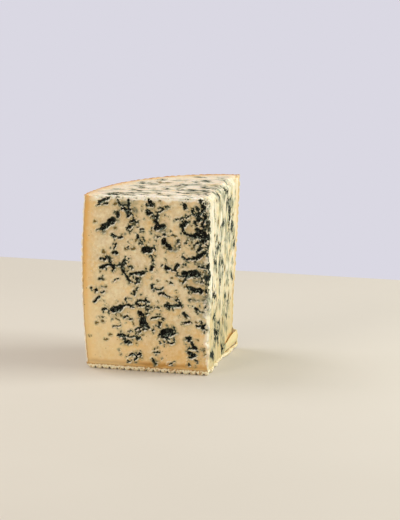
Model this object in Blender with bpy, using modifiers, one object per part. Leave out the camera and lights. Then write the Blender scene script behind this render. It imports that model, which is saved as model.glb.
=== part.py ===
"""Blue cheese wedge: a quarter of a drum of blue cheese, also cut across at half the drum's height.

The drum is a turned barrel standing on a flat base that carries the print of its draining mat. Two wire cuts
through the drum's axis leave a front face and a side face, which meet in a rounded upright edge, and a third
cut makes the top, which is a little off level. The side cut wanders inwards towards its lower back corner and
leaves a proud, curled heel of paste at the foot. The largest mould pockets of the cut faces are real hollows.

Metres, +Z up, front cut face towards -Y. The origin is the bottom centre of the piece's own box.
"""

import math

import bmesh
import bpy
from mathutils import Matrix, Vector

# The drum
RIM_RADIUS = 0.1000  # where the top cut leaves the rind
BULGE = 0.0027  # how far the barrel stands out past the rim radius
BULGE_HEIGHT = 0.080  # height of the widest ring
BULGE_REACH = 0.060  # height above and below it at which the radius is back to the rim's
FOOT_ROUND = 0.0045  # radius of the edge between side and base
DRUM_HEIGHT = 0.160  # modelled a little past the top cut
SIDE_RINGS = 14
DRUM_STEPS = 96

# The draining mat's print: crossed V grooves that leave blunt square studs
STUD_PITCH = 0.0060
STUD_LAND = 0.0036
GROOVE_DEPTH = 0.0026

# The three cuts, seen from the drum's axis: the front face runs to -X, the side face runs to +Y
CUT_REACH = 0.130
TOP_AT_AXIS = 0.1395
TOP_AT_FRONT_RIM = 0.1376
TOP_AT_SIDE_RIM = 0.1439
UPRIGHT_ROUND = 0.0036  # wire-cut edges crumble to about this radius
TOP_ROUND = 0.0026
LEAN = 0.0044  # how far the side cut has wandered in at the rim
LEAN_HEIGHT = 0.045  # below this height it wanders no further
SIDE_CUT_STEPS = 6

# The heel left at the foot of the side cut
HEEL_HEIGHT = 0.0150
HEEL_START = 0.044  # distance from the axis at which it rises out of the side face
HEEL_FULL = 0.095
HEEL_PROUD = 0.0002  # how far its belly stands out past the upright plane through the axis
HEEL_STEPS = 6

# Mould pockets as (across, up, length, width, tilt in degrees): across is the distance from the drum's axis
FRONT_POCKETS = (
    (0.0816, 0.1300, 0.0150, 0.0044, 26),
    (0.0800, 0.1150, 0.0150, 0.0058, 36),
    (0.0662, 0.1260, 0.0100, 0.0070, -50),
    (0.0383, 0.1129, 0.0120, 0.0056, -35),
    (0.0312, 0.1001, 0.0120, 0.0054, -38),
    (0.0472, 0.0953, 0.0110, 0.0085, 20),
    (0.0195, 0.1172, 0.0058, 0.0058, 0),
    (0.0130, 0.1090, 0.0110, 0.0060, -10),
    (0.0137, 0.0782, 0.0125, 0.0070, 0),
    (0.0110, 0.0660, 0.0120, 0.0064, -15),
    (0.0561, 0.0770, 0.0110, 0.0040, 0),
    (0.0733, 0.0479, 0.0100, 0.0050, 12),
    (0.0525, 0.0387, 0.0100, 0.0072, 60),
    (0.0330, 0.0307, 0.0120, 0.0075, 5),
    (0.0697, 0.0270, 0.0085, 0.0040, -12),
    (0.0123, 0.0145, 0.0072, 0.0064, 10),
)
SIDE_POCKETS = (
    (0.0400, 0.0830, 0.0090, 0.0060, 80),
    (0.0250, 0.0430, 0.0100, 0.0060, 70),
    (0.0700, 0.1150, 0.0080, 0.0050, 85),
)
POCKET_DEPTH_SHARE = 0.45  # depth of a hollow as a share of its width

PASTE_COLOUR = (0.78, 0.66, 0.43, 1.0)
PASTE_ROUGHNESS = 0.55


def box_centre_offset():
    """The drum's axis, seen from the middle of the piece's own box."""
    widest = RIM_RADIUS + BULGE
    return Vector(((widest - HEEL_PROUD) / 2, -widest / 2, 0.0))


def drum_radius(height):
    """The barrel's radius: a shallow parabola, widest at BULGE_HEIGHT."""
    return RIM_RADIUS + BULGE * (1 - ((height - BULGE_HEIGHT) / BULGE_REACH) ** 2)


def drum_profile():
    """Half the drum's section as (radius, height), down the outer side and in along the base."""
    points = [(0.0, DRUM_HEIGHT)]
    for ring in range(SIDE_RINGS + 1):
        height = DRUM_HEIGHT + (FOOT_ROUND - DRUM_HEIGHT) * ring / SIDE_RINGS
        points.append((drum_radius(height), height))
    foot = drum_radius(FOOT_ROUND) - FOOT_ROUND
    for turn in (30, 60, 90):
        angle = math.radians(turn)
        points.append((foot + FOOT_ROUND * math.cos(angle), FOOT_ROUND * (1 - math.sin(angle))))
    points.append((0.0, 0.0))
    return points


def top_height(across, back):
    """Height of the tilted top cut at a distance across (to -X) and back (to +Y) from the drum's axis."""
    to_front_rim = (TOP_AT_FRONT_RIM - TOP_AT_AXIS) * across / RIM_RADIUS
    to_side_rim = (TOP_AT_SIDE_RIM - TOP_AT_AXIS) * back / RIM_RADIUS
    return TOP_AT_AXIS + to_front_rim + to_side_rim


def side_lean(back, height):
    """How far the side cut lies inside the upright plane through the drum's axis."""
    share = (TOP_AT_AXIS - height) / (TOP_AT_AXIS - LEAN_HEIGHT)
    return LEAN * back / RIM_RADIUS * min(max(share, 0.0), 1.0)


def new_object(name, mesh, collection, material=None):
    obj = bpy.data.objects.new(name, mesh)
    collection.objects.link(obj)
    if material is None:
        obj.hide_render = True
        obj.display_type = "WIRE"
    else:
        mesh.materials.append(material)
    return obj


def mesh_from(bm, name):
    mesh = bpy.data.meshes.new(name)
    bmesh.ops.recalc_face_normals(bm, faces=bm.faces)
    bm.to_mesh(mesh)
    bm.free()
    return mesh


def add_boolean(obj, name, operation, other):
    modifier = obj.modifiers.new(name, "BOOLEAN")
    modifier.operation = operation
    modifier.solver = "EXACT"
    modifier.object = other


def make_paste():
    material = bpy.data.materials.new("blue_cheese_paste")
    material.use_nodes = True
    shader = material.node_tree.nodes["Principled BSDF"]
    shader.inputs["Base Color"].default_value = PASTE_COLOUR
    shader.inputs["Roughness"].default_value = PASTE_ROUGHNESS
    shader.inputs["Metallic"].default_value = 0.0
    return material


def make_drum(collection, material):
    """The whole drum, turned about its axis; the cuts leave the wedge of it."""
    bm = bmesh.new()
    verts = [bm.verts.new((radius, 0.0, height)) for radius, height in drum_profile()]
    for upper, lower in zip(verts, verts[1:]):
        bm.edges.new((upper, lower))
    mesh = bpy.data.meshes.new("cheese_wedge")
    bm.to_mesh(mesh)
    bm.free()
    drum = new_object("cheese_wedge", mesh, collection, material)
    drum.location = box_centre_offset()
    screw = drum.modifiers.new("turn", "SCREW")
    screw.axis = "Z"
    screw.steps = DRUM_STEPS
    screw.render_steps = DRUM_STEPS
    screw.use_merge_vertices = True
    screw.merge_threshold = 0.00001
    screw.use_smooth_shade = True
    return drum


def middle_of(edge):
    return (edge.verts[0].co + edge.verts[1].co) / 2


def round_edges(bm, edges, radius, segments):
    bmesh.ops.bevel(bm, geom=edges, offset=radius, segments=segments, profile=0.5, affect="EDGES", material=-1)


def make_quarter(collection):
    """The space between the three cuts: the drum keeps only what lies inside it."""
    bm = bmesh.new()
    below = STUD_PITCH / 2
    size = Matrix.Diagonal((CUT_REACH, CUT_REACH, TOP_AT_AXIS + below, 1.0))
    place = Matrix.Translation((-CUT_REACH / 2, CUT_REACH / 2, (TOP_AT_AXIS - below) / 2))
    bmesh.ops.create_cube(bm, size=1.0, matrix=place @ size)

    upright = [edge for edge in bm.edges if middle_of(edge).xy.length < UPRIGHT_ROUND]
    round_edges(bm, upright, UPRIGHT_ROUND, 4)
    top_rim = []
    for edge in bm.edges:
        middle = middle_of(edge)
        if middle.z > TOP_AT_AXIS - TOP_ROUND and min(-middle.x, middle.y) < UPRIGHT_ROUND:
            top_rim.append(edge)
    round_edges(bm, top_rim, TOP_ROUND, 3)

    for step in range(1, SIDE_CUT_STEPS):
        back = Vector((0, CUT_REACH * step / SIDE_CUT_STEPS, 0))
        up = Vector((0, 0, TOP_AT_AXIS * step / SIDE_CUT_STEPS))
        for place in (back, up):
            geometry = bm.verts[:] + bm.edges[:] + bm.faces[:]
            bmesh.ops.bisect_plane(bm, geom=geometry, plane_co=place, plane_no=place.normalized())
    for vert in bm.verts:
        x, y, z = vert.co
        if x > -CUT_REACH / 2:
            vert.co.x -= side_lean(y, z)
        if z > TOP_AT_AXIS - 2 * TOP_ROUND:
            vert.co.z += top_height(-x, y) - TOP_AT_AXIS
    quarter = new_object("quarter_cut", mesh_from(bm, "quarter_cut"), collection)
    quarter.location = box_centre_offset()
    return quarter


def heel_section(back):
    """The heel's section as (x, z) at a distance back from the drum's axis, from its foot round to its root."""
    share = min(max((back - HEEL_START) / (HEEL_FULL - HEEL_START), 0.0), 1.0)
    height = HEEL_HEIGHT * (0.45 + 0.55 * share)
    face = -side_lean(back, height)
    foot = max(face, -0.0022)
    flush = face - 0.0003
    belly = flush + (HEEL_PROUD - flush) * share**1.3
    lip = belly - 0.0008 * share
    thickness = 0.0010 + 0.0006 * share
    root = face - 0.0010
    return (
        (foot, -STUD_PITCH / 2),
        (foot * 0.8 + belly * 0.2, height * 0.12),
        (belly, height * 0.50),
        (belly, height * 0.72),
        (lip, height),
        (lip - thickness, height * 0.97),
        (root, height * 0.62),
        (root - 0.0080, height * 0.62),
        (root - 0.0080, -STUD_PITCH / 2),
    )


def make_heel(collection):
    """A tongue of paste that the side cut left standing at the foot, lofted through its sections."""
    bm = bmesh.new()
    stations = [RIM_RADIUS + FOOT_ROUND]
    for step in range(HEEL_STEPS):
        stations.append(HEEL_FULL + (HEEL_START - HEEL_FULL) * step / (HEEL_STEPS - 1))
    loops = [[bm.verts.new((x, back, z)) for x, z in heel_section(back)] for back in stations]
    for rear, fore in zip(loops, loops[1:]):
        for corner in range(len(rear)):
            following = (corner + 1) % len(rear)
            bm.faces.new((rear[corner], rear[following], fore[following], fore[corner]))
    bm.faces.new(loops[0])
    bm.faces.new(loops[-1])
    heel = new_object("heel", mesh_from(bm, "heel"), collection)
    heel.location = box_centre_offset()
    return heel


def make_mat(collection):
    """The draining mat that printed the base: a sheet of square dimples whose rims are the grooves' bottoms."""
    bm = bmesh.new()
    rows = math.ceil(RIM_RADIUS / STUD_PITCH) + 2
    bmesh.ops.create_grid(bm, x_segments=rows, y_segments=rows, size=rows * STUD_PITCH / 2)
    poked = bmesh.ops.poke(bm, faces=bm.faces[:])
    for dimple in poked["verts"]:
        dimple.co.z = -GROOVE_DEPTH * STUD_PITCH / (STUD_PITCH - STUD_LAND)
    underside = bmesh.ops.extrude_face_region(bm, geom=bm.faces[:], use_keep_orig=True)
    for item in underside["geom"]:
        if isinstance(item, bmesh.types.BMVert):
            item.co.z = -2 * STUD_PITCH
    # A stud's middle, not a groove, lies under each upright cut.
    shift = (rows - 1) / 2 * STUD_PITCH - STUD_PITCH
    bmesh.ops.translate(bm, verts=bm.verts, vec=(-shift, shift, GROOVE_DEPTH))
    mat = new_object("draining_mat", mesh_from(bm, "draining_mat"), collection)
    mat.location = box_centre_offset()
    return mat


def make_pockets(collection):
    """Flattened pebbles set into the cut faces; taken out of the paste they leave the mould's hollows."""
    bm = bmesh.new()
    faces = ((FRONT_POCKETS, Matrix.Identity(4)), (SIDE_POCKETS, Matrix.Rotation(math.radians(-90), 4, "Z")))
    for pockets, turn_to_face in faces:
        for across, up, length, width, tilt in pockets:
            lean = 0.0 if pockets is FRONT_POCKETS else side_lean(across, up)
            place = turn_to_face @ Matrix.Translation((-across, -lean, up))
            spin = Matrix.Rotation(math.radians(-tilt), 4, "Y")
            size = Matrix.Diagonal((length / 2, width * POCKET_DEPTH_SHARE, width / 2, 1.0))
            bmesh.ops.create_icosphere(bm, subdivisions=2, radius=1.0, matrix=place @ spin @ size)
    pockets = new_object("mould_pockets", mesh_from(bm, "mould_pockets"), collection)
    pockets.location = box_centre_offset()
    return pockets


def main():
    for obj in list(bpy.data.objects):
        bpy.data.objects.remove(obj, do_unlink=True)
    scene = bpy.context.scene
    piece = bpy.data.collections.new("blue_cheese_wedge")
    cutters = bpy.data.collections.new("cutters")
    scene.collection.children.link(piece)
    scene.collection.children.link(cutters)

    wedge = make_drum(piece, make_paste())
    quarter = make_quarter(cutters)
    add_boolean(quarter, "keep_heel", "UNION", make_heel(cutters))
    add_boolean(wedge, "cut_quarter", "INTERSECT", quarter)
    add_boolean(wedge, "print_base", "DIFFERENCE", make_mat(cutters))
    add_boolean(wedge, "open_pockets", "DIFFERENCE", make_pockets(cutters))


main()
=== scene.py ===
import math

import bmesh
import bpy
import numpy as np
from mathutils import Matrix, Vector, noise


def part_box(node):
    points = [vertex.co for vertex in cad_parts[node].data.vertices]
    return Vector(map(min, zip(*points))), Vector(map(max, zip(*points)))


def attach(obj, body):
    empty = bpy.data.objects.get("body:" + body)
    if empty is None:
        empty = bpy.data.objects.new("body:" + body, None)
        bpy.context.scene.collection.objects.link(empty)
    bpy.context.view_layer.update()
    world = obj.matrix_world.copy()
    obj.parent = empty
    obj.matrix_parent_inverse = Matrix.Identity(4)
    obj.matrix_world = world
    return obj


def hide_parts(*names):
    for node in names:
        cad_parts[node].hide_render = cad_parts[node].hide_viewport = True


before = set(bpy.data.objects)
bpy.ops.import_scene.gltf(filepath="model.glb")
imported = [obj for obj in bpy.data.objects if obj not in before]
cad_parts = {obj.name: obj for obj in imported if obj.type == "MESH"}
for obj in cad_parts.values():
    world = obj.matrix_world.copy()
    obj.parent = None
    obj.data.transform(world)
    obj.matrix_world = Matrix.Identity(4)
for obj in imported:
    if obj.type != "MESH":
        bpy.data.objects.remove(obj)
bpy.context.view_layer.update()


# ---- Camera ---------------------------------------------------------------------------------------
# A long lens at table height, a metre and a half off, looking slightly down at the front cut with the side
# cut turning away on the right. The cheese is a quarter of a drum, and every place on it is given in
# millimetres from the drum's axis, where the two upright cuts meet: "across" runs along the front cut,
# "back" along the side cut, and "up" from the table.
MM = 0.001
HEEL_PROUD = 0.2  # how far the heel stands out past the side cut's upright plane

wedge_low, wedge_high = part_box("cheese_wedge")
drum_axis = Vector((wedge_high.x - HEEL_PROUD * MM, wedge_low.y, 0.0))

camera_data = bpy.data.cameras.new("camera")
camera_data.sensor_width = 36.0
camera_data.lens = 138.46
camera_data.clip_start = 0.01
camera_data.clip_end = 50.0
camera = bpy.data.objects.new("camera", camera_data)
bpy.context.scene.collection.objects.link(camera)
bpy.context.scene.camera = camera

TARGET_UP = 70.0
CAMERA_DISTANCE = 1540.0
azimuth, elevation = math.radians(14.19), math.radians(11.71)
direction = Vector((
    math.sin(azimuth) * math.cos(elevation),
    -math.cos(azimuth) * math.cos(elevation),
    math.sin(elevation),
))
stand = drum_axis + Vector((0, 0, TARGET_UP * MM)) + direction * CAMERA_DISTANCE * MM
turn = Matrix.Rotation(math.radians(14.44), 4, "Z")
tip = Matrix.Rotation(math.radians(90 - 10.92), 4, "X")
roll = Matrix.Rotation(math.radians(0.50), 4, "Z")
camera.matrix_world = Matrix.Translation(stand) @ turn @ tip @ roll


# ---- Table and light ------------------------------------------------------------------------------
# A pale matt table top that ends behind the cheese, and soft studio light: a broad cool key from the right,
# a window behind on the left and overhead, a weak warm fill from the front left, and dim warm surroundings.
def linear(colour):
    """The linear RGBA that Blender's sockets take, from an sRGB hex colour."""
    channels = [int(colour[at:at + 2], 16) / 255 for at in (1, 3, 5)]
    return tuple(c / 12.92 if c <= 0.04045 else ((c + 0.055) / 1.055) ** 2.4 for c in channels) + (1.0,)


def add_node(tree, kind, *inputs, out=None, **settings):
    """Adds a node with its settings and returns the named output, or its first.

    Each input, in the node's own order, is a value or the socket that feeds it.
    """
    node = tree.nodes.new("ShaderNode" + kind)
    for name, value in settings.items():
        setattr(node, name, value)
    for socket, value in zip([each for each in node.inputs if each.enabled], inputs):
        if isinstance(value, bpy.types.NodeSocket):
            tree.links.new(value, socket)
        else:
            socket.default_value = value
    if out:
        return node.outputs[out]
    return next((output for output in node.outputs if output.enabled), None)


def new_material(name):
    """A material with the object's own coordinates: returns it, its tree, its shader and the coordinates."""
    material = bpy.data.materials.new(name)
    material.use_nodes = True
    tree = material.node_tree
    place = add_node(tree, "TexCoord", out="Object")
    return material, tree, tree.nodes["Principled BSDF"], place


def grain(size):
    """The texture scale that gives features of this size in millimetres."""
    return 1.0 / (size * MM)


COLOURS = {"data_type": "RGBA"}
TABLE_THICK = 30.0
TABLE_REACH = 420.0  # behind the drum's axis
TABLE_WIDE = 6000.0
table_bm = bmesh.new()
table_size = Matrix.Diagonal((TABLE_WIDE * MM, TABLE_WIDE * MM, TABLE_THICK * MM, 1.0))
table_place = Matrix.Translation((
    drum_axis.x,
    drum_axis.y + (TABLE_REACH - TABLE_WIDE / 2) * MM,
    -TABLE_THICK / 2 * MM,
))
bmesh.ops.create_cube(table_bm, size=1.0, matrix=table_place @ table_size)
bmesh.ops.bevel(table_bm, geom=table_bm.edges[:], offset=4.0 * MM, segments=3, profile=0.5,
                affect="EDGES", material=-1)
table_mesh = bpy.data.meshes.new("table")
table_bm.to_mesh(table_mesh)
table_bm.free()
table = bpy.data.objects.new("table", table_mesh)
bpy.context.scene.collection.objects.link(table)

# Matt painted board: faint cloudiness of the paint, no gloss to speak of.
paint, tree, shader, place = new_material("pale_painted_board")
cloudy = add_node(tree, "TexNoise", place, grain(180.0), 3.0)
tint = add_node(tree, "Mix", cloudy, linear("#d6d0c6"), linear("#dcd6cd"), **COLOURS)
tree.links.new(tint, shader.inputs["Base Color"])
shader.inputs["Roughness"].default_value = 0.75
table_mesh.materials.append(paint)

world = bpy.data.worlds.new("studio")
bpy.context.scene.world = world
world.use_nodes = True
tree = world.node_tree
seen = add_node(tree, "LightPath", out="Is Camera Ray")
surround = add_node(tree, "Mix", seen, (0.46, 0.415, 0.36, 1.0), linear("#dad8e3"), **COLOURS)
tree.links.new(surround, tree.nodes["Background"].inputs["Color"])
bpy.context.scene.view_settings.view_transform = "Standard"


def add_softbox(name, place, width, height, power, colour):
    """A rectangular soft light at a place in millimetres from the drum's axis, aimed at the cheese."""
    data = bpy.data.lights.new(name, "AREA")
    data.shape = "RECTANGLE"
    data.size, data.size_y = width * MM, height * MM
    data.energy = power
    data.color = colour
    light = bpy.data.objects.new(name, data)
    stand = drum_axis + Vector(place) * MM
    aim = drum_axis + Vector((-40, 40, 70)) * MM
    light.location = stand
    light.rotation_euler = (aim - stand).to_track_quat("-Z", "Y").to_euler()
    bpy.context.scene.collection.objects.link(light)


add_softbox("key", (1250, 330, 800), 700, 700, 17.5, (0.95, 1.0, 0.97))
add_softbox("window", (-800, 250, 1200), 600, 600, 6.0, (0.97, 0.97, 1.0))
add_softbox("fill", (-900, -1500, 900), 700, 700, 7.2, (1.0, 0.93, 0.84))
add_softbox("bounce", (-380, -330, 60), 240, 240, 0.30, (1.0, 0.93, 0.82))


# ---- Paste ----------------------------------------------------------------------------------------
# The body of the cheese: ivory semi-soft paste, cut by wire on the front, side and top. The cuts open the
# mould's veins as ragged hollows, crumble along the edges, and leave a curled heel at the side's foot.
RIM_RADIUS = 100.0
BULGE = 2.7
BULGE_HEIGHT = 80.0
BULGE_REACH = 60.0
RIND = 1.6  # thickness of the rind on the drum's side
BASE_RIND = 3.7  # and on its base, with the studs that the draining mat left

TOP_AT_AXIS = 139.5
TOP_AT_FRONT_RIM = 137.6
TOP_AT_SIDE_RIM = 143.9
LEAN = 4.4
LEAN_HEIGHT = 45.0


def drum_radius(up):
    """The barrel's radius: a shallow parabola, widest at BULGE_HEIGHT."""
    return RIM_RADIUS + BULGE * (1 - ((up - BULGE_HEIGHT) / BULGE_REACH) ** 2)


def top_height(across, back):
    """Height of the top cut, which is a little off level."""
    to_front_rim = (TOP_AT_FRONT_RIM - TOP_AT_AXIS) * across / RIM_RADIUS
    to_side_rim = (TOP_AT_SIDE_RIM - TOP_AT_AXIS) * back / RIM_RADIUS
    return TOP_AT_AXIS + to_front_rim + to_side_rim


def side_lean(back, up):
    """How far the side cut lies inside the upright plane through the drum's axis."""
    share = (TOP_AT_AXIS - up) / (TOP_AT_AXIS - LEAN_HEIGHT)
    return LEAN * back / RIM_RADIUS * np.clip(share, 0.0, 1.0)


def block_faces(sides, cells, low=(-1.0, 0.0, 0.0), high=(0.0, 1.0, 1.0)):
    """Some sides of a block, each divided into fine cells. A side is an axis and 0 for its low end or 1 for its high."""
    bm = bmesh.new()
    low, high = Vector(low), Vector(high)
    size = Matrix.Diagonal((*(high - low), 1.0))
    bmesh.ops.create_cube(bm, size=1.0, matrix=Matrix.Translation((low + high) / 2) @ size)
    unwanted = []
    for face in bm.faces:
        middle = face.calc_center_median()
        if not any(abs(middle[axis] - (low, high)[end][axis]) < 1e-5 for axis, end in sides):
            unwanted.append(face)
    bmesh.ops.delete(bm, geom=unwanted, context="FACES")
    for axis, count in enumerate(cells):
        along = [e for e in bm.edges if abs((e.verts[0].co - e.verts[1].co)[axis]) > 0.5]
        bmesh.ops.subdivide_edges(bm, edges=along, cuts=count - 1, use_grid_fill=True)
    return bm


def open_rim(bm):
    return [edge for edge in bm.edges if len(edge.link_faces) == 1]


def back_with(bm, behind):
    """Closes an open fine skin with a coarse one that lies behind it, rim to rim."""
    spare = bpy.data.meshes.new("behind")
    behind.to_mesh(spare)
    behind.free()
    bm.from_mesh(spare)
    bpy.data.meshes.remove(spare)
    bmesh.ops.bridge_loops(bm, edges=open_rim(bm))
    bmesh.ops.recalc_face_normals(bm, faces=bm.faces)


def coordinates(mesh, kind="co"):
    flat = np.empty(len(mesh.vertices) * 3)
    source = mesh.vertices if kind == "co" else mesh.vertex_normals
    source.foreach_get(kind, flat)
    return flat.reshape(-1, 3)


def set_coordinates(mesh, points):
    mesh.vertices.foreach_set("co", points.astype(np.float32).ravel())
    mesh.update()


def store(mesh, name, values):
    """Keeps a value at each vertex, for the material to read."""
    layer = mesh.attributes.new(name, "FLOAT", "POINT")
    layer.data.foreach_set("value", values.astype(np.float32))


def ripple(points, size, seed):
    """Smooth noise from -1 to 1 at each point, in features of this size in millimetres."""
    shift = Vector((seed, seed * 2.3, seed * 3.7))
    return np.array([noise.noise(Vector(point) + shift) for point in points / np.array(size)])


def smooth_step(values, low, high):
    share = np.clip((values - low) / (high - low), 0.0, 1.0)
    return share * share * (3 - 2 * share)


def quarter_disc(side_share, back_share, radius):
    """Spreads a square's points over the quarter disc: two of its sides stay straight and two make the arc."""
    across = radius * side_share * np.sqrt(1 - back_share**2 / 2)
    back = radius * back_share * np.sqrt(1 - side_share**2 / 2)
    return across, back


CUTS = ((0, 1), (1, 0), (2, 1))  # side, front and top
SKINS = ((0, 0), (1, 1), (2, 0))  # the drum's side in two halves, and its base
paste_bm = block_faces(CUTS, (180, 110, 230))
behind = block_faces(SKINS, (16, 16, 18), low=(-0.99, 0.01, 0.01), high=(-0.01, 0.99, 0.99))
back_with(paste_bm, behind)
paste_mesh = bpy.data.meshes.new("cheese_paste")
paste_bm.to_mesh(paste_mesh)
paste_bm.free()

unit = coordinates(paste_mesh)
out, deep, high = -unit[:, 0], unit[:, 1], unit[:, 2]
on_side, on_front, on_top = out < 1e-6, deep < 1e-6, high > 1 - 1e-6

# A share of the rows lies in the lowest few millimetres, for the heel.
FOOT_ROWS = 0.18
FOOT_REACH = 20.0
level_across, level_back = quarter_disc(out, deep, RIM_RADIUS - RIND)
top = top_height(level_across, level_back)
foot_share = np.minimum(high / FOOT_ROWS, 1.0)
upper_share = np.clip((high - FOOT_ROWS) / (1 - FOOT_ROWS), 0.0, 1.0)
up = BASE_RIND + (FOOT_REACH - BASE_RIND) * foot_share + (top - FOOT_REACH) * upper_share
across, back = quarter_disc(out, deep, drum_radius(up) - RIND)
flat_place = np.stack([across, back, up], axis=1)

# Wire-cut edges crumble to a radius that comes and goes along the edge. The upright one is the sharpest.
TOP_EDGE_ROUND, UPRIGHT_EDGE_ROUND = 3.6, 1.7
edge_round = TOP_EDGE_ROUND + (UPRIGHT_EDGE_ROUND - TOP_EDGE_ROUND) * smooth_step(top - up, 3.0, 9.0)
edge_round *= 1 + 0.30 * ripple(flat_place, 6.0, 3.1) + 0.20 * ripple(flat_place, 2.2, 5.2)
edge_round *= 1 + 0.9 * np.exp(-(np.hypot(across, top - up) / 9.0) ** 2)
to_rim = drum_radius(up) - RIND - np.hypot(across, back)
edge_round *= 0.15 + 0.85 * smooth_step(to_rim, 0.0, 9.0)
from_cuts = np.stack([across, back, top - up], axis=1)
short = np.clip(edge_round[:, None] - from_cuts, 0.0, None)
reach = np.maximum(np.linalg.norm(short, axis=1), edge_round)
rounded = np.where(short > 0, edge_round[:, None] - short * (edge_round / reach)[:, None], from_cuts)
edge_share = smooth_step(np.linalg.norm(short, axis=1) - edge_round, -0.2, 1.2)
across, back, up = rounded[:, 0], rounded[:, 1], top - rounded[:, 2]
across = across + side_lean(back, up) * (1 - across / RIM_RADIUS)

# The heel: the lowest rows of the side cut run up its belly, over its lip, down into the crevice behind
# the lip and up the face again. It rises out of the face between these distances back.
HEEL_START, HEEL_FULL = 44.0, 95.0
HEEL_HEIGHT = 15.0
HEEL_LIP = 1.6
in_heel = on_side & (high <= FOOT_ROWS + 1e-6)
heel_share = np.clip((back[in_heel] - HEEL_START) / (HEEL_FULL - HEEL_START), 0.0, 1.0)
heel_top = HEEL_HEIGHT * (0.45 + 0.55 * heel_share) + 0.5 * np.sin(back[in_heel] / 4.3)
face_in = side_lean(back[in_heel], np.full(in_heel.sum(), HEEL_HEIGHT))
belly_in = face_in - (face_in + HEEL_PROUD) * heel_share**1.2
path_in = (
    face_in * (1 - heel_share) + 1.6 * heel_share, belly_in + 0.3, belly_in, belly_in + 0.2,
    belly_in + 0.7 * heel_share, belly_in + HEEL_LIP * heel_share, face_in - 0.2 * heel_share, face_in + 0.4,
    face_in,
)
path_up = (0.0, 0.30, 0.52, 0.76, 1.0, 0.99, 0.66, 0.80, 1.0)
path_at = (0.0, 0.16, 0.28, 0.42, 0.56, 0.62, 0.78, 0.88, 1.0)


def along_path(at):
    """How far in and how far up the heel's section is, at a share of the way along it."""
    share_in, share_up = np.zeros(len(at)), np.zeros(len(at))
    for stop in range(len(path_at)):
        weights = np.interp(at, path_at, np.eye(len(path_at))[stop])
        stop_up = BASE_RIND + (heel_top - BASE_RIND) * path_up[stop]
        if stop == len(path_at) - 1:
            stop_up = np.full(len(at), FOOT_REACH)
        share_in += weights * path_in[stop]
        share_up += weights * stop_up
    return share_in, share_up


curled = [along_path(np.clip(foot_share[in_heel] + shift, 0.0, 1.0)) for shift in (-0.04, -0.02, 0.0, 0.02, 0.04)]
curled_in = sum(each[0] for each in curled) / len(curled)
curled_up = sum(each[1] for each in curled) / len(curled)
pinned = smooth_step(foot_share[in_heel], 0.90, 1.0)
raised = smooth_step(back[in_heel], HEEL_START, HEEL_START + 14.0) * (1 - pinned)
across[in_heel] += (curled_in - across[in_heel]) * raised
up[in_heel] += (curled_up - up[in_heel]) * raised

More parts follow.
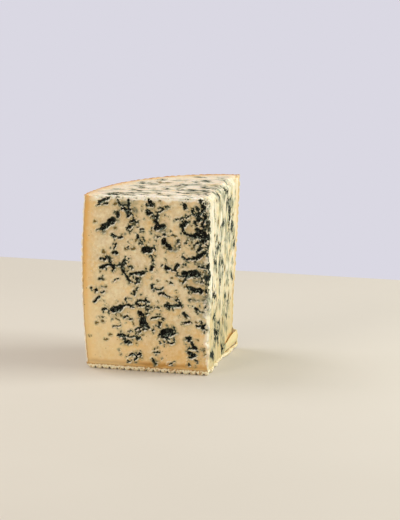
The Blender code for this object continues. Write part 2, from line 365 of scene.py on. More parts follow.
# Mould veins where they break the front cut: habit, width, and the line that the vein follows, as places
# across and up. An open vein is a black hollow, a broken one has curds of paste in it, fuzz is pale and
# shallow, and rust is a brown speck.
FRONT_VEINS = (
    ("open", 3.0, (87.5, 132.0), (84.2, 134.2), (80.5, 135.6)), ("open", 2.2, (79.5, 137.4), (76.5, 138.8), (73.5, 138.2)),
    ("broken", 1.3, (89.4, 129.6), (87.2, 130.6), (84.5, 131.3), (81.5, 131.6)),
    ("broken", 1.4, (72.3, 134.8), (71.8, 132.0), (70.5, 130.6), (68.0, 130.4), (65.5, 130.9)),
    ("broken", 2.2, (64.2, 134.6), (64.0, 131.0), (63.6, 128.0)), ("fuzz", 1.8, (69.5, 132.4), (66.5, 132.2)),
    ("open", 3.0, (68.2, 127.6), (65.5, 127.4), (63.4, 127.2)),
    ("broken", 2.4, (64.8, 125.0), (64.4, 123.0), (62.4, 124.2)), ("broken", 1.0, (62.5, 123.6), (59.4, 122.7)),
    ("fuzz", 2.6, (59.4, 128.0), (58.6, 126.4)), ("rust", 1.4, (53.2, 128.2)),
    ("broken", 2.4, (72.9, 125.0), (72.3, 122.4)),
    ("open", 4.6, (85.8, 111.3), (82.5, 113.6), (79.0, 117.0), (76.2, 119.0)), ("fuzz", 1.2, (74.5, 119.0), (72.3, 118.8)),
    ("fuzz", 1.8, (85.5, 109.0), (83.2, 109.0)), ("broken", 1.2, (89.0, 110.4)), ("rust", 1.6, (75.2, 112.6)),
    ("open", 3.4, (63.6, 113.6), (62.4, 114.2)), ("broken", 0.9, (65.6, 113.8), (64.9, 111.7), (63.0, 110.8), (61.0, 111.8)),
    ("open", 1.8, (62.8, 118.6), (60.5, 119.1), (58.4, 118.6)), ("broken", 1.5, (58.4, 117.8), (57.9, 116.6)),
    ("broken", 0.9, (58.0, 118.4), (55.8, 119.0)), ("open", 2.4, (52.8, 112.8)),
    ("broken", 2.3, (56.8, 107.6), (55.7, 105.8)), ("rust", 1.1, (57.8, 104.2), (58.1, 103.0)),
    ("open", 1.8, (77.0, 107.4), (74.6, 106.0), (72.6, 105.0), (69.2, 105.8)), ("broken", 1.6, (72.8, 104.8), (74.6, 102.6)),
    ("open", 1.8, (74.2, 100.0), (74.8, 98.4), (75.2, 96.8)), ("open", 2.6, (75.8, 93.3), (73.6, 92.8)),
    ("broken", 2.0, (63.6, 102.0), (63.4, 100.4), (64.6, 98.6)), ("broken", 1.2, (61.2, 100.6)),
    ("rust", 1.5, (66.6, 96.2)), ("rust", 1.1, (59.4, 97.3)), ("broken", 1.5, (54.4, 101.4)), ("rust", 1.8, (84.0, 93.2)),
    ("rust", 1.6, (91.0, 116.8)), ("open", 3.2, (47.4, 135.6), (46.4, 133.8), (45.6, 132.0)),
    ("open", 1.9, (49.6, 132.2), (48.5, 131.6)), ("rust", 1.6, (39.3, 136.3)),
    ("broken", 1.5, (39.2, 130.6), (36.5, 130.5), (33.0, 131.4)), ("fuzz", 1.5, (36.0, 128.8), (33.0, 130.0), (31.0, 130.8)),
    ("broken", 2.6, (48.8, 127.4), (47.2, 126.6), (46.0, 125.2)), ("open", 2.2, (48.6, 125.4), (47.6, 124.6)),
    ("broken", 2.3, (43.2, 123.2), (41.2, 123.4), (40.8, 121.4)), ("broken", 1.6, (39.8, 126.8), (37.6, 127.8), (36.4, 129.0)),
    ("open", 2.8, (42.4, 119.8), (41.2, 118.0), (40.2, 116.6)), ("open", 4.6, (41.2, 115.0), (39.0, 114.6), (36.8, 115.4)),
    ("fuzz", 2.2, (37.2, 112.3), (34.0, 112.2)), ("broken", 1.6, (36.2, 110.0), (34.2, 109.0)),
    ("fuzz", 2.0, (42.8, 107.5)), ("open", 1.8, (40.8, 107.3)), ("broken", 1.2, (32.0, 109.0), (30.0, 110.0)),
    ("open", 3.8, (35.2, 104.6), (33.6, 101.8), (31.0, 99.6)), ("fuzz", 2.8, (29.5, 98.6), (27.0, 97.8), (25.6, 99.6)),
    ("broken", 1.4, (24.4, 101.0), (22.6, 99.8)), ("open", 2.0, (24.2, 105.8), (24.1, 103.6)),
    ("open", 6.0, (50.0, 96.6), (47.8, 96.2)), ("broken", 2.0, (45.0, 98.6), (42.8, 98.2), (42.2, 96.6)),
    ("broken", 1.8, (46.5, 92.6), (44.2, 92.2), (43.2, 94.0)), ("open", 2.8, (19.2, 133.0), (18.4, 131.4)),
    ("broken", 1.5, (20.6, 134.8)), ("broken", 1.3, (19.5, 137.2), (16.5, 138.2)),
    ("broken", 2.8, (6.6, 137.4), (5.6, 135.0), (4.2, 132.2)), ("open", 2.4, (9.4, 131.4), (8.0, 130.6)),
    ("broken", 3.4, (5.4, 130.0), (6.8, 126.4)), ("broken", 2.6, (2.6, 133.0), (3.4, 129.8)),
    ("broken", 2.8, (8.0, 127.4), (8.8, 123.6)), ("broken", 2.2, (11.0, 121.0), (9.6, 118.0)), ("broken", 3.0, (4.2, 121.0), (5.6, 115.6)), ("open", 3.4, (3.2, 127.0), (2.6, 122.4)),
    ("broken", 2.0, (13.4, 129.0), (12.8, 127.8)), ("broken", 1.8, (12.4, 126.4), (10.2, 125.6)), ("open", 1.9, (16.4, 124.2)),
    ("broken", 1.5, (25.8, 121.4), (23.6, 121.9), (21.4, 123.2)), ("open", 3.4, (8.6, 122.0), (7.2, 122.6)),
    ("broken", 3.0, (3.6, 125.6), (1.6, 123.0), (0.8, 119.0)), ("open", 5.0, (20.4, 117.4), (18.4, 119.0)),
    ("open", 1.9, (20.2, 115.0), (19.8, 112.4), (18.0, 110.8), (14.5, 109.6), (11.0, 109.8)),
    ("open", 3.4, (9.6, 115.2), (7.4, 113.6), (5.6, 112.4)), ("open", 6.2, (8.6, 110.0), (4.5, 109.8), (1.0, 109.0)),
    ("open", 3.0, (14.6, 109.0), (11.0, 107.6)), ("broken", 2.8, (9.0, 104.6), (6.4, 103.6)),
    ("broken", 2.4, (1.4, 117.6), (0.8, 114.0)), ("fuzz", 3.4, (14.4, 108.4), (12.2, 106.6)),
    ("open", 2.8, (5.8, 105.6), (3.6, 105.2), (1.8, 106.4)), ("rust", 1.5, (16.2, 101.6)), ("rust", 1.3, (13.0, 100.0)),
    ("broken", 1.8, (18.2, 104.0), (15.8, 102.8)), ("broken", 1.4, (11.4, 102.4), (9.6, 103.6)),
    ("open", 3.2, (11.6, 92.0), (8.0, 93.0), (5.4, 95.0), (3.2, 97.0)),
    ("broken", 2.2, (19.4, 92.6), (17.4, 91.2), (13.0, 91.0)), ("broken", 3.0, (3.0, 101.6), (6.0, 100.4), (7.6, 98.4)),
    ("broken", 2.4, (1.0, 103.0), (0.8, 99.4)), ("rust", 1.5, (26.6, 108.6)), ("rust", 1.3, (14.0, 117.6)),
    ("open", 2.8, (85.8, 87.2), (83.6, 87.6)), ("broken", 2.5, (83.2, 89.2), (81.0, 88.4)),
    ("broken", 2.1, (80.6, 89.0), (78.8, 86.0), (77.0, 83.6)),
    ("open", 2.3, (86.2, 80.8), (83.6, 81.9), (81.2, 83.0), (78.6, 82.8)), ("open", 2.8, (76.2, 83.0), (75.8, 80.8)),
    ("broken", 1.5, (75.8, 80.0), (77.0, 78.6)), ("broken", 2.0, (72.8, 83.2), (70.6, 83.6)),
    ("broken", 2.4, (63.4, 89.0), (65.2, 87.8), (67.6, 87.0)), ("open", 2.2, (68.6, 85.6), (66.6, 84.6)),
    ("broken", 2.0, (65.0, 86.4), (64.8, 85.0)), ("broken", 2.1, (65.0, 83.8), (62.8, 82.8), (61.2, 81.6)),
    ("broken", 2.0, (69.6, 84.0), (68.8, 81.6)), ("open", 2.5, (68.6, 79.6), (67.6, 79.0)),
    ("broken", 1.3, (67.0, 77.4), (65.0, 75.8)), ("open", 1.7, (65.2, 75.0), (64.4, 73.0), (63.0, 71.2), (60.6, 70.8)),
    ("open", 2.3, (61.6, 76.8), (59.4, 77.6)), ("open", 3.6, (57.6, 78.0), (54.8, 77.4), (52.0, 78.8)),
    ("open", 3.3, (57.4, 73.4), (55.6, 72.2)), ("broken", 2.0, (57.4, 70.4), (54.8, 70.2)),
    ("broken", 1.2, (55.4, 68.2)), ("broken", 1.2, (57.2, 66.0)), ("open", 2.0, (87.2, 72.2), (86.4, 71.8)),
    ("broken", 1.4, (76.6, 70.6), (74.6, 71.2), (72.6, 72.6)), ("broken", 1.9, (94.4, 64.6), (92.4, 63.8)),
    ("open", 2.5, (91.2, 63.0), (89.6, 62.4)), ("fuzz", 1.6, (86.0, 65.4), (84.0, 65.0)),
    ("open", 1.9, (86.0, 60.6), (84.0, 61.0)), ("open", 1.8, (59.2, 63.2), (58.8, 60.4)),
    ("open", 2.0, (91.6, 53.6), (90.0, 54.8)), ("open", 2.5, (89.4, 56.0), (87.6, 57.0)), ("rust", 1.0, (84.6, 54.5)),
    ("broken", 1.7, (66.0, 57.4), (66.4, 55.8)), ("fuzz", 1.2, (65.0, 57.6), (62.0, 57.0)),
    ("open", 2.3, (66.6, 51.8), (64.0, 52.2), (62.2, 51.8)), ("broken", 1.3, (61.4, 51.2), (59.8, 50.4)),
    ("open", 1.9, (57.4, 54.6), (55.4, 55.8), (52.6, 56.2), (50.4, 55.8)),
    ("open", 1.9, (57.0, 53.6), (55.2, 52.4), (52.2, 52.2), (50.6, 53.4)),
    ("open", 4.8, (76.2, 47.2), (73.4, 48.0), (70.4, 49.0)), ("open", 2.5, (69.4, 50.6), (67.8, 51.0)),
    ("open", 2.6, (84.4, 48.0), (82.6, 47.8)), ("broken", 1.6, (81.4, 46.8), (79.6, 45.8), (78.6, 44.0)),
    ("open", 2.5, (55.0, 47.2), (54.2, 45.4), (52.4, 44.6)), ("broken", 1.7, (44.2, 89.0), (43.4, 87.6)),
    ("open", 2.7, (45.0, 83.8), (45.0, 81.6)), ("rust", 1.2, (41.4, 80.2)), ("broken", 1.4, (36.4, 84.6), (34.8, 84.4)),
    ("open", 3.0, (34.0, 83.6), (31.6, 82.4)), ("open", 2.7, (24.0, 86.4), (25.6, 84.8), (26.2, 82.2)),
    ("broken", 1.7, (29.0, 81.6), (27.0, 81.2), (24.6, 80.0)), ("broken", 1.6, (25.2, 78.2), (22.8, 77.4)),
    ("open", 6.0, (17.4, 79.0), (13.0, 79.6), (9.2, 79.4)), ("fuzz", 3.2, (8.0, 77.4), (6.6, 75.6)),
    ("broken", 2.2, (5.2, 76.6), (5.6, 74.0), (4.4, 73.2)), ("fuzz", 2.2, (10.4, 75.4), (9.0, 73.6)),
    ("open", 1.9, (20.4, 72.8), (18.8, 75.0)), ("rust", 1.7, (22.2, 74.0)), ("open", 1.6, (29.8, 72.4), (29.0, 71.2)),
    ("rust", 1.2, (29.2, 75.6)), ("rust", 1.2, (33.0, 73.0)), ("rust", 1.4, (40.4, 72.6)), ("rust", 1.4, (18.4, 69.2)),
    ("broken", 3.4, (15.4, 69.0), (13.0, 68.4)), ("open", 5.2, (10.6, 67.4), (8.0, 67.0), (5.4, 66.8)),
    ("fuzz", 5.6, (2.4, 62.0), (0.6, 59.0)), ("broken", 2.4, (1.6, 97.0), (0.6, 93.4)), ("broken", 2.6, (1.0, 88.0), (0.4, 84.0)),
    ("broken", 2.8, (1.4, 76.0), (0.6, 71.6)), ("broken", 2.4, (1.4, 68.0), (0.4, 64.6)), ("broken", 2.2, (1.8, 55.0), (0.6, 51.0)),
    ("broken", 2.0, (2.6, 129.0), (1.2, 126.0)), ("broken", 1.8, (44.8, 68.6), (44.4, 67.0), (41.4, 66.2), (38.4, 66.0), (36.4, 67.4)),
    ("open", 2.3, (38.6, 62.8), (36.8, 63.4), (35.0, 61.8)), ("broken", 1.2, (34.0, 61.0), (31.0, 60.6), (29.0, 59.6)),
    ("rust", 1.4, (25.2, 65.4)), ("rust", 1.2, (25.4, 61.4)), ("open", 1.8, (25.6, 59.0), (23.8, 58.8)),
    ("broken", 1.5, (32.0, 57.6), (31.0, 55.8)), ("open", 3.3, (33.0, 53.4), (31.0, 52.6)),
    ("broken", 2.8, (29.6, 52.6), (27.0, 53.8), (24.0, 53.8), (21.6, 54.4)), ("broken", 1.3, (23.0, 57.4), (21.8, 55.4)),
    ("broken", 1.5, (13.8, 60.4), (13.0, 59.4)), ("fuzz", 1.6, (11.6, 59.4), (9.8, 58.6), (7.0, 59.2)),
    ("broken", 2.0, (50.2, 57.0), (48.6, 56.0), (47.2, 55.8)), ("rust", 1.4, (40.2, 56.4)),
    ("open", 2.2, (49.0, 51.8), (47.4, 52.0)), ("broken", 1.2, (46.0, 51.2), (43.0, 51.0)),
    ("broken", 1.2, (41.0, 51.6), (38.0, 51.2)), ("fuzz", 1.7, (46.6, 50.0), (44.0, 50.4)),
    ("broken", 1.4, (49.6, 49.6), (47.6, 49.0)), ("open", 2.4, (10.0, 52.6), (8.6, 51.8)), ("broken", 0.9, (7.4, 50.6), (4.0, 50.0)),
    ("open", 2.5, (19.2, 48.0), (18.0, 46.8), (16.3, 46.0)), ("broken", 1.8, (7.6, 86.2), (5.2, 85.6), (3.4, 84.8), (1.8, 84.0)),
    ("fuzz", 2.4, (8.0, 88.0), (5.6, 88.6)), ("rust", 1.5, (1.0, 81.4), (0.8, 79.4)), ("rust", 1.2, (4.6, 81.6)),
    ("broken", 1.1, (20.0, 87.2)), ("rust", 1.4, (88.4, 40.8)), ("rust", 1.2, (90.2, 36.4), (88.2, 37.4)),
    ("open", 1.4, (76.2, 34.4), (73.4, 34.8), (70.8, 35.2)), ("open", 1.7, (67.0, 42.8), (64.6, 43.6)),
    ("broken", 1.7, (63.0, 40.4), (61.4, 41.0)), ("open", 4.8, (52.0, 41.0), (50.2, 38.8)), ("open", 3.0, (53.4, 38.6), (51.6, 36.2)),
    ("open", 1.9, (58.0, 33.0), (55.4, 33.8), (52.4, 35.0)), ("broken", 1.5, (57.6, 30.4), (55.4, 31.0), (52.6, 32.4), (50.6, 33.4)),
    ("broken", 1.5, (63.8, 31.0), (62.4, 31.8)), ("rust", 1.5, (78.8, 27.6)), ("rust", 1.3, (95.2, 26.0)),
    ("rust", 1.2, (83.4, 23.6), (81.0, 23.8)), ("open", 3.0, (71.8, 27.4), (69.0, 27.6), (67.0, 27.2)),
    ("open", 1.6, (66.0, 27.0), (63.0, 26.8), (59.4, 27.2)), ("open", 1.9, (57.4, 26.8), (55.6, 25.4), (54.4, 27.0)),
    ("rust", 1.2, (52.4, 28.8)), ("open", 2.9, (66.0, 22.4), (64.0, 22.4), (62.6, 22.0)), ("fuzz", 1.5, (69.4, 21.4), (67.0, 21.6)),
    ("broken", 1.2, (66.2, 26.4), (66.4, 24.4)), ("fuzz", 1.6, (71.2, 15.8)), ("rust", 1.2, (70.0, 12.4)),
    ("open", 1.7, (62.8, 11.6), (61.2, 13.0), (59.2, 12.6), (57.4, 11.0)), ("broken", 1.8, (57.0, 10.0), (58.6, 9.0)),
    ("open", 1.9, (56.6, 12.4), (55.2, 13.6), (54.0, 13.4)), ("broken", 1.1, (54.2, 11.2), (53.6, 12.4)),
    ("broken", 1.7, (64.0, 8.0), (63.0, 7.0)), ("open", 1.8, (45.0, 42.6), (42.4, 43.2), (39.6, 44.0)),
    ("broken", 1.6, (50.0, 45.4), (48.4, 46.4)), ("open", 1.5, (36.2, 43.2)), ("open", 2.5, (39.0, 39.6), (38.2, 38.2)),
    ("open", 2.4, (49.6, 36.4), (47.4, 35.4)), ("broken", 1.1, (44.8, 35.6), (42.0, 37.0), (40.4, 37.0)),
    ("broken", 1.1, (44.0, 33.0), (41.6, 33.6), (39.4, 35.0)), ("open", 7.4, (35.6, 31.2), (33.0, 31.4), (30.8, 31.6)),
    ("open", 3.6, (29.6, 33.6), (31.0, 34.0)), ("open", 2.4, (28.0, 31.6), (26.8, 31.4)), ("broken", 2.0, (39.0, 29.6), (38.2, 30.8)),
    ("open", 2.2, (33.0, 27.6), (31.6, 27.0)), ("fuzz", 1.6, (26.0, 31.6), (24.8, 32.0)),
    ("open", 1.5, (31.6, 24.2), (29.4, 23.4), (27.6, 24.2)), ("broken", 1.3, (30.6, 26.6), (28.2, 27.4), (26.4, 26.0)),
    ("broken", 2.2, (38.2, 26.4), (37.2, 24.0)), ("broken", 1.8, (35.0, 24.6), (34.0, 23.6)), ("fuzz", 1.9, (38.6, 27.2), (36.0, 26.8)),
    ("open", 3.0, (17.6, 41.0), (15.8, 41.2)), ("broken", 1.7, (5.8, 42.6), (5.0, 41.4)),
    ("open", 1.9, (8.0, 39.0), (5.0, 39.2), (2.4, 39.4)), ("open", 2.8, (4.4, 38.0), (2.4, 36.4), (0.6, 36.4)),
    ("open", 2.8, (16.4, 28.6), (14.4, 28.8), (14.6, 26.8)), ("fuzz", 1.4, (18.8, 27.2), (17.4, 27.8)),
    ("broken", 1.4, (16.8, 26.0), (14.4, 26.0)), ("open", 1.9, (13.0, 25.0), (11.4, 23.6)), ("broken", 1.4, (15.6, 20.8), (13.4, 21.0)),
    ("open", 2.7, (11.6, 21.4), (9.4, 21.2)), ("fuzz", 2.2, (4.6, 20.6), (3.2, 20.4)), ("rust", 1.6, (2.4, 19.0), (1.8, 17.2)),
    ("rust", 1.2, (8.2, 28.2)), ("open", 3.6, (13.6, 17.4), (12.2, 15.2), (10.4, 15.8)), ("open", 2.2, (13.8, 13.2)),
    ("broken", 1.6, (10.0, 12.4), (8.8, 11.2)),
    ("broken", 1.4, (15.4, 9.4), (14.6, 7.4)), ("rust", 1.2, (10.0, 6.8)), ("broken", 1.9, (43.0, 15.8), (41.0, 16.2)),
    ("rust", 1.2, (40.6, 19.8)), ("broken", 1.4, (44.6, 10.0), (43.0, 8.4), (41.4, 6.8)), ("fuzz", 2.2, (42.4, 8.8), (40.8, 7.8)),
    ("broken", 1.4, (31.0, 7.4), (28.8, 7.6)), ("fuzz", 1.2, (36.6, 11.4)),
)
# On the side cut, as places back and up, where the wire has drawn them out up and down.
SIDE_VEINS = (
    ("open", 3.4, (0.8, 131.0), (2.6, 127.6)), ("broken", 2.4, (1.0, 124.0), (6.0, 122.6)), ("open", 5.2, (0.6, 117.6), (3.4, 115.0)),
    ("open", 2.4, (0.4, 109.2), (5.0, 107.6), (9.0, 106.4)), ("broken", 1.8, (1.6, 136.6), (6.0, 134.6)),
    ("broken", 2.2, (5.0, 133.2), (8.0, 130.4)), ("broken", 2.2, (30.0, 137.4), (33.0, 135.4)),
    ("broken", 2.8, (54.0, 138.4), (57.0, 136.4), (61.0, 134.4)), ("fuzz", 3.0, (46.0, 135.0), (51.0, 132.0)),
    ("fuzz", 3.2, (35.0, 130.6), (38.0, 127.0)), ("fuzz", 2.4, (40.0, 127.4), (43.0, 124.4)),
    ("open", 2.2, (61.0, 129.0), (66.0, 127.8), (72.0, 127.4)), ("broken", 1.6, (57.0, 127.2), (59.0, 125.0)),
    ("fuzz", 4.4, (67.0, 126.0), (73.0, 124.8), (79.0, 123.4)), ("broken", 2.4, (67.0, 123.4), (71.0, 121.4), (75.0, 119.6)),
    ("broken", 2.2, (68.0, 119.0), (73.0, 116.6)), ("rust", 2.0, (31.0, 117.0), (32.0, 115.0)),
    ("broken", 1.8, (39.0, 110.4), (46.0, 112.0), (54.0, 113.2)), ("fuzz", 2.6, (40.0, 108.6), (43.0, 106.0)),
    ("fuzz", 2.4, (55.0, 110.4), (62.0, 108.4)), ("open", 5.2, (68.6, 112.0), (69.6, 109.6), (70.6, 106.4)),
    ("fuzz", 2.0, (42.0, 104.8), (46.0, 103.4)), ("broken", 2.0, (25.0, 103.8), (29.0, 102.4)),
    ("fuzz", 3.0, (59.0, 104.4), (63.0, 100.8)), ("broken", 1.7, (79.0, 106.8), (86.0, 104.4)),
    ("broken", 2.0, (79.0, 102.0), (84.0, 100.6)), ("fuzz", 2.0, (86.0, 100.2), (92.0, 98.0)),
    ("broken", 2.4, (32.0, 95.4), (37.0, 95.2), (41.6, 96.6)), ("fuzz", 2.2, (58.0, 97.2), (65.0, 95.6)),
    ("fuzz", 2.2, (73.0, 96.6), (77.0, 94.6)), ("broken", 2.8, (27.4, 93.0), (23.6, 90.4)),
    ("open", 2.8, (18.0, 87.2), (22.0, 85.4), (26.0, 84.4)), ("fuzz", 3.2, (21.0, 83.0), (26.0, 80.8)),
    ("fuzz", 6.4, (38.0, 79.8), (42.0, 76.4)), ("broken", 2.2, (36.0, 82.2), (43.0, 81.4)),
    ("broken", 1.8, (48.0, 82.6), (52.0, 81.0)), ("fuzz", 2.6, (58.0, 91.4), (63.0, 88.4)),
    ("fuzz", 1.8, (81.0, 89.0), (87.0, 87.4)), ("broken", 2.2, (92.0, 88.8), (96.0, 86.8)),
    ("fuzz", 2.6, (68.0, 82.0), (73.0, 79.0)), ("rust", 1.8, (57.0, 74.4), (59.0, 72.8)),
    ("fuzz", 2.0, (37.0, 73.4), (44.0, 71.4), (49.0, 70.0)), ("open", 2.6, (0.4, 82.4), (4.0, 81.0)),
    ("open", 4.8, (0.4, 78.4), (4.0, 76.6)), ("broken", 2.0, (15.0, 66.4), (17.6, 64.2)),
    ("broken", 1.7, (39.0, 69.0), (42.6, 66.8), (46.6, 64.6)), ("fuzz", 1.7, (63.0, 69.0), (74.0, 66.6)),
    ("fuzz", 1.5, (81.0, 66.6), (87.0, 65.2)), ("open", 2.8, (12.0, 62.4), (18.0, 60.8), (24.0, 59.2), (29.0, 57.4)),
    ("fuzz", 5.0, (1.0, 61.4), (6.0, 58.4), (11.0, 57.0)), ("broken", 2.6, (1.0, 52.4), (5.0, 51.2), (9.0, 50.2)),
    ("fuzz", 2.8, (3.0, 49.2), (11.0, 46.4)), ("fuzz", 1.8, (40.6, 62.0), (43.6, 60.6)), ("fuzz", 2.0, (41.0, 58.8), (44.0, 57.0)),
    ("broken", 1.4, (62.0, 51.4), (68.0, 49.8)), ("fuzz", 1.5, (67.0, 62.0), (74.0, 59.4)),
    ("fuzz", 2.4, (42.0, 48.6), (46.0, 45.6)), ("rust", 1.5, (33.0, 47.6), (35.0, 46.4)),
    ("broken", 3.4, (21.0, 42.6), (27.0, 40.6)), ("fuzz", 5.0, (28.0, 36.6), (31.0, 33.0)),
    ("broken", 3.0, (28.0, 34.0), (25.0, 31.4)), ("broken", 2.2, (37.0, 34.2), (42.0, 33.0), (46.0, 32.0)),
    ("open", 3.2, (25.0, 30.0), (30.0, 28.2), (35.0, 26.4)), ("broken", 2.2, (38.0, 28.0), (43.0, 25.4)),
    ("broken", 2.2, (25.0, 24.4), (32.0, 22.6), (39.0, 20.6)), ("fuzz", 2.6, (23.0, 18.8), (28.0, 17.2)),
    ("broken", 2.6, (10.0, 14.2), (17.0, 12.8), (23.0, 10.2)), ("broken", 1.6, (16.6, 16.2), (19.4, 15.0)),
    ("broken", 4.6, (53.0, 10.4), (57.0, 8.4)), ("fuzz", 4.0, (58.0, 7.0), (60.0, 4.6)), ("fuzz", 3.0, (61.0, 14.6), (66.0, 12.0)),
    ("fuzz", 2.6, (58.0, 39.4), (65.0, 35.6)), ("broken", 2.6, (69.0, 33.4), (74.0, 32.2)), ("fuzz", 2.6, (73.0, 37.4), (79.0, 34.8)),
    ("broken", 1.6, (77.0, 43.0), (83.0, 41.4)), ("fuzz", 1.8, (75.0, 39.4), (83.0, 37.4)), ("rust", 1.8, (79.0, 48.0), (83.0, 46.4)),
    ("fuzz", 2.8, (65.0, 26.4), (70.0, 23.6), (75.0, 20.0)), ("rust", 1.6, (57.4, 33.4), (59.6, 31.0)),
    ("fuzz", 2.4, (51.0, 23.6), (55.0, 20.4)), ("fuzz", 2.2, (88.0, 76.0), (92.0, 73.0)), ("broken", 1.6, (90.0, 62.0), (92.0, 59.0)),
    ("open", 2.0, (0.6, 38.2), (4.0, 36.4)), ("fuzz", 2.0, (12.0, 97.0), (15.0, 94.0)), ("broken", 1.5, (9.0, 119.0), (10.0, 114.0)),
    ("fuzz", 1.8, (16.0, 128.0), (17.4, 124.0)), ("broken", 1.4, (22.0, 120.0), (22.6, 115.6)), ("fuzz", 1.8, (13.0, 75.0), (14.0, 71.0)),
)
# And on the top cut, as places across and back, where it has drawn them out left and right.
TOP_VEINS = (
    ("open", 3.2, (80.6, 9.0), (77.0, 4.6), (73.0, 1.6)), ("broken", 1.8, (77.6, 14.0), (71.0, 9.0)),
    ("broken", 2.2, (67.6, 15.0), (63.0, 10.4)), ("fuzz", 3.6, (59.0, 17.0), (54.6, 13.6)), ("fuzz", 6.4, (52.0, 25.4), (47.0, 23.6)),
    ("broken", 2.2, (44.6, 14.0), (41.0, 9.4)), ("broken", 2.4, (43.4, 35.4), (40.6, 32.4)), ("broken", 2.6, (34.6, 35.6), (30.0, 28.6)),
    ("broken", 4.6, (28.6, 19.0), (23.0, 16.4)), ("fuzz", 7.0, (22.6, 27.0), (17.0, 21.0), (13.6, 18.4)),
    ("broken", 3.0, (23.0, 32.0), (19.6, 27.6)), ("broken", 3.0, (16.4, 44.0), (11.0, 37.6)), ("broken", 2.0, (13.0, 30.0), (9.6, 25.6)),
    ("open", 1.8, (7.6, 16.0), (4.6, 11.6)), ("fuzz", 3.4, (8.0, 51.0), (3.6, 46.4)), ("fuzz", 2.8, (8.6, 43.0), (5.0, 39.4)),
    ("broken", 2.4, (20.0, 68.0), (15.0, 61.6)), ("broken", 1.9, (35.0, 54.0), (31.0, 50.6)), ("fuzz", 2.8, (26.0, 54.0), (22.0, 50.6)),
    ("rust", 1.0, (50.0, 58.0), (48.6, 56.6)), ("rust", 1.1, (56.0, 59.0), (55.0, 57.0)), ("broken", 1.6, (58.0, 71.0), (54.0, 65.6)),
    ("broken", 2.0, (69.6, 55.0), (66.6, 51.0)), ("fuzz", 4.6, (62.6, 53.0), (57.6, 47.6)), ("broken", 1.7, (66.0, 39.0), (62.0, 34.0)),
    ("broken", 1.8, (70.6, 29.0), (65.0, 24.4), (59.0, 18.6)), ("fuzz", 2.4, (11.0, 83.0), (8.0, 79.0)), ("fuzz", 2.2, (14.0, 76.0), (10.0, 72.6)),
    ("broken", 1.8, (6.0, 71.0), (3.0, 67.0)), ("broken", 1.6, (40.0, 5.6), (33.0, 4.4)), ("fuzz", 2.6, (36.0, 13.0), (31.0, 10.0)),
    ("broken", 1.8, (56.0, 6.6), (50.0, 4.4)), ("broken", 2.0, (66.0, 5.6), (60.0, 3.2)), ("broken", 1.8, (21.0, 7.0), (14.0, 3.6)),
    ("fuzz", 3.0, (72.0, 42.0), (67.0, 44.0)), ("fuzz", 2.2, (44.0, 66.0), (38.0, 69.0)), ("broken", 1.6, (30.0, 84.0), (24.0, 82.0)),
    ("fuzz", 3.4, (40.0, 45.0), (33.0, 42.0)), ("fuzz", 2.4, (84.0, 22.0), (79.0, 27.0)), ("broken", 1.6, (28.0, 63.0), (24.0, 60.0)),
)
# How pale each habit's mould is, below 0 for rust, and how deep it is hollowed.
HABITS = {
    "open": {"pale": 0.0, "depth": 4.2},
    "broken": {"pale": 0.12, "depth": 2.4},
    "fuzz": {"pale": 0.75, "depth": 0.7},
    "rust": {"pale": -1.0, "depth": 0.5},
}
chance = np.random.default_rng(20)


def lumps_along(vein, frame_of_cut, drawn_out=None, depth_share=1.0, paler=0.0):
    """The lumps that make up a vein which follows a line, with specks beside it.

    A cut that the wire has smeared has them drawn out in one direction, an angle from the cut's own run.
    """
    habit, width, *stops = vein
    looks = HABITS[habit]
    origin, run, rise, outward = frame_of_cut
    lumps = []

    def add_lump(at, spin, long, wide, depth):
        lump_along = run * math.cos(spin) + rise * math.sin(spin)
        axes = np.stack([lump_along, rise * math.cos(spin) - run * math.sin(spin), outward])
        paleness = looks["pale"] + (0.0 if looks["pale"] < 0 else paler + abs(chance.normal(0, 0.07)))
        lumps.append((at, axes, np.array([long, wide, max(long, 2.5)]), min(paleness, 1.0), depth * depth_share))

    legs = list(zip(stops, stops[1:])) or [(stops[0], stops[0])]
    for start, end in legs:
        start, end = origin(*start), origin(*end)
        heading = math.atan2((end - start) @ rise, (end - start) @ run)
        count = 1 + int(np.linalg.norm(end - start) / (0.35 * width))
        for at in np.linspace(start, end, count + 1):
            at = at + run * chance.normal(0, 0.07 * width) + rise * chance.normal(0, 0.07 * width)
            radius = width / 2 * chance.uniform(0.75, 1.08)
            spin, stretch = heading + chance.normal(0, 0.4), chance.uniform(1.0, 1.35)
            if drawn_out is not None:
                spin, stretch = drawn_out + chance.normal(0, 0.2), chance.uniform(1.5, 3.2)
                radius *= 0.62
            add_lump(at, spin, radius * stretch, radius, looks["depth"])
    specks = (1, 4) if drawn_out is None else (3, 8)
    for _ in range(chance.integers(*specks) if habit in ("open", "broken") or drawn_out is not None else 0):
        at = origin(*stops[chance.integers(len(stops))])
        round_it, far = chance.uniform(0, 2 * math.pi), width / 2 + chance.uniform(0.5, 1.8)
        at = at + run * far * math.cos(round_it) + rise * far * math.sin(round_it)
        size, spin, stretch = chance.uniform(0.22, 0.50), chance.uniform(0, math.pi), chance.uniform(1.0, 2.0)
        if drawn_out is not None:
            spin, stretch = drawn_out + chance.normal(0, 0.2), stretch * 1.8
        add_lump(at, spin, size * stretch, size, 0.8)
    return lumps


X_AXIS, Y_AXIS, Z_AXIS = np.eye(3)
front_frame = (lambda first, second: np.array([first, 0.0, second]), -X_AXIS, Z_AXIS, Y_AXIS)
side_frame = (lambda first, second: np.array([0.0, first, second]), Y_AXIS, Z_AXIS, X_AXIS)
top_frame = (lambda first, second: np.array([first, second, top_height(first, second)]), -X_AXIS, Y_AXIS, Z_AXIS)

front_lumps = [lump for vein in FRONT_VEINS for lump in lumps_along(vein, front_frame)]
side_lumps = [lump for vein in SIDE_VEINS for lump in lumps_along(vein, side_frame, math.pi / 2, 0.40, 0.10)]
top_lumps = [lump for vein in TOP_VEINS for lump in lumps_along(vein, top_frame, 0.0, 0.35, 0.22)]


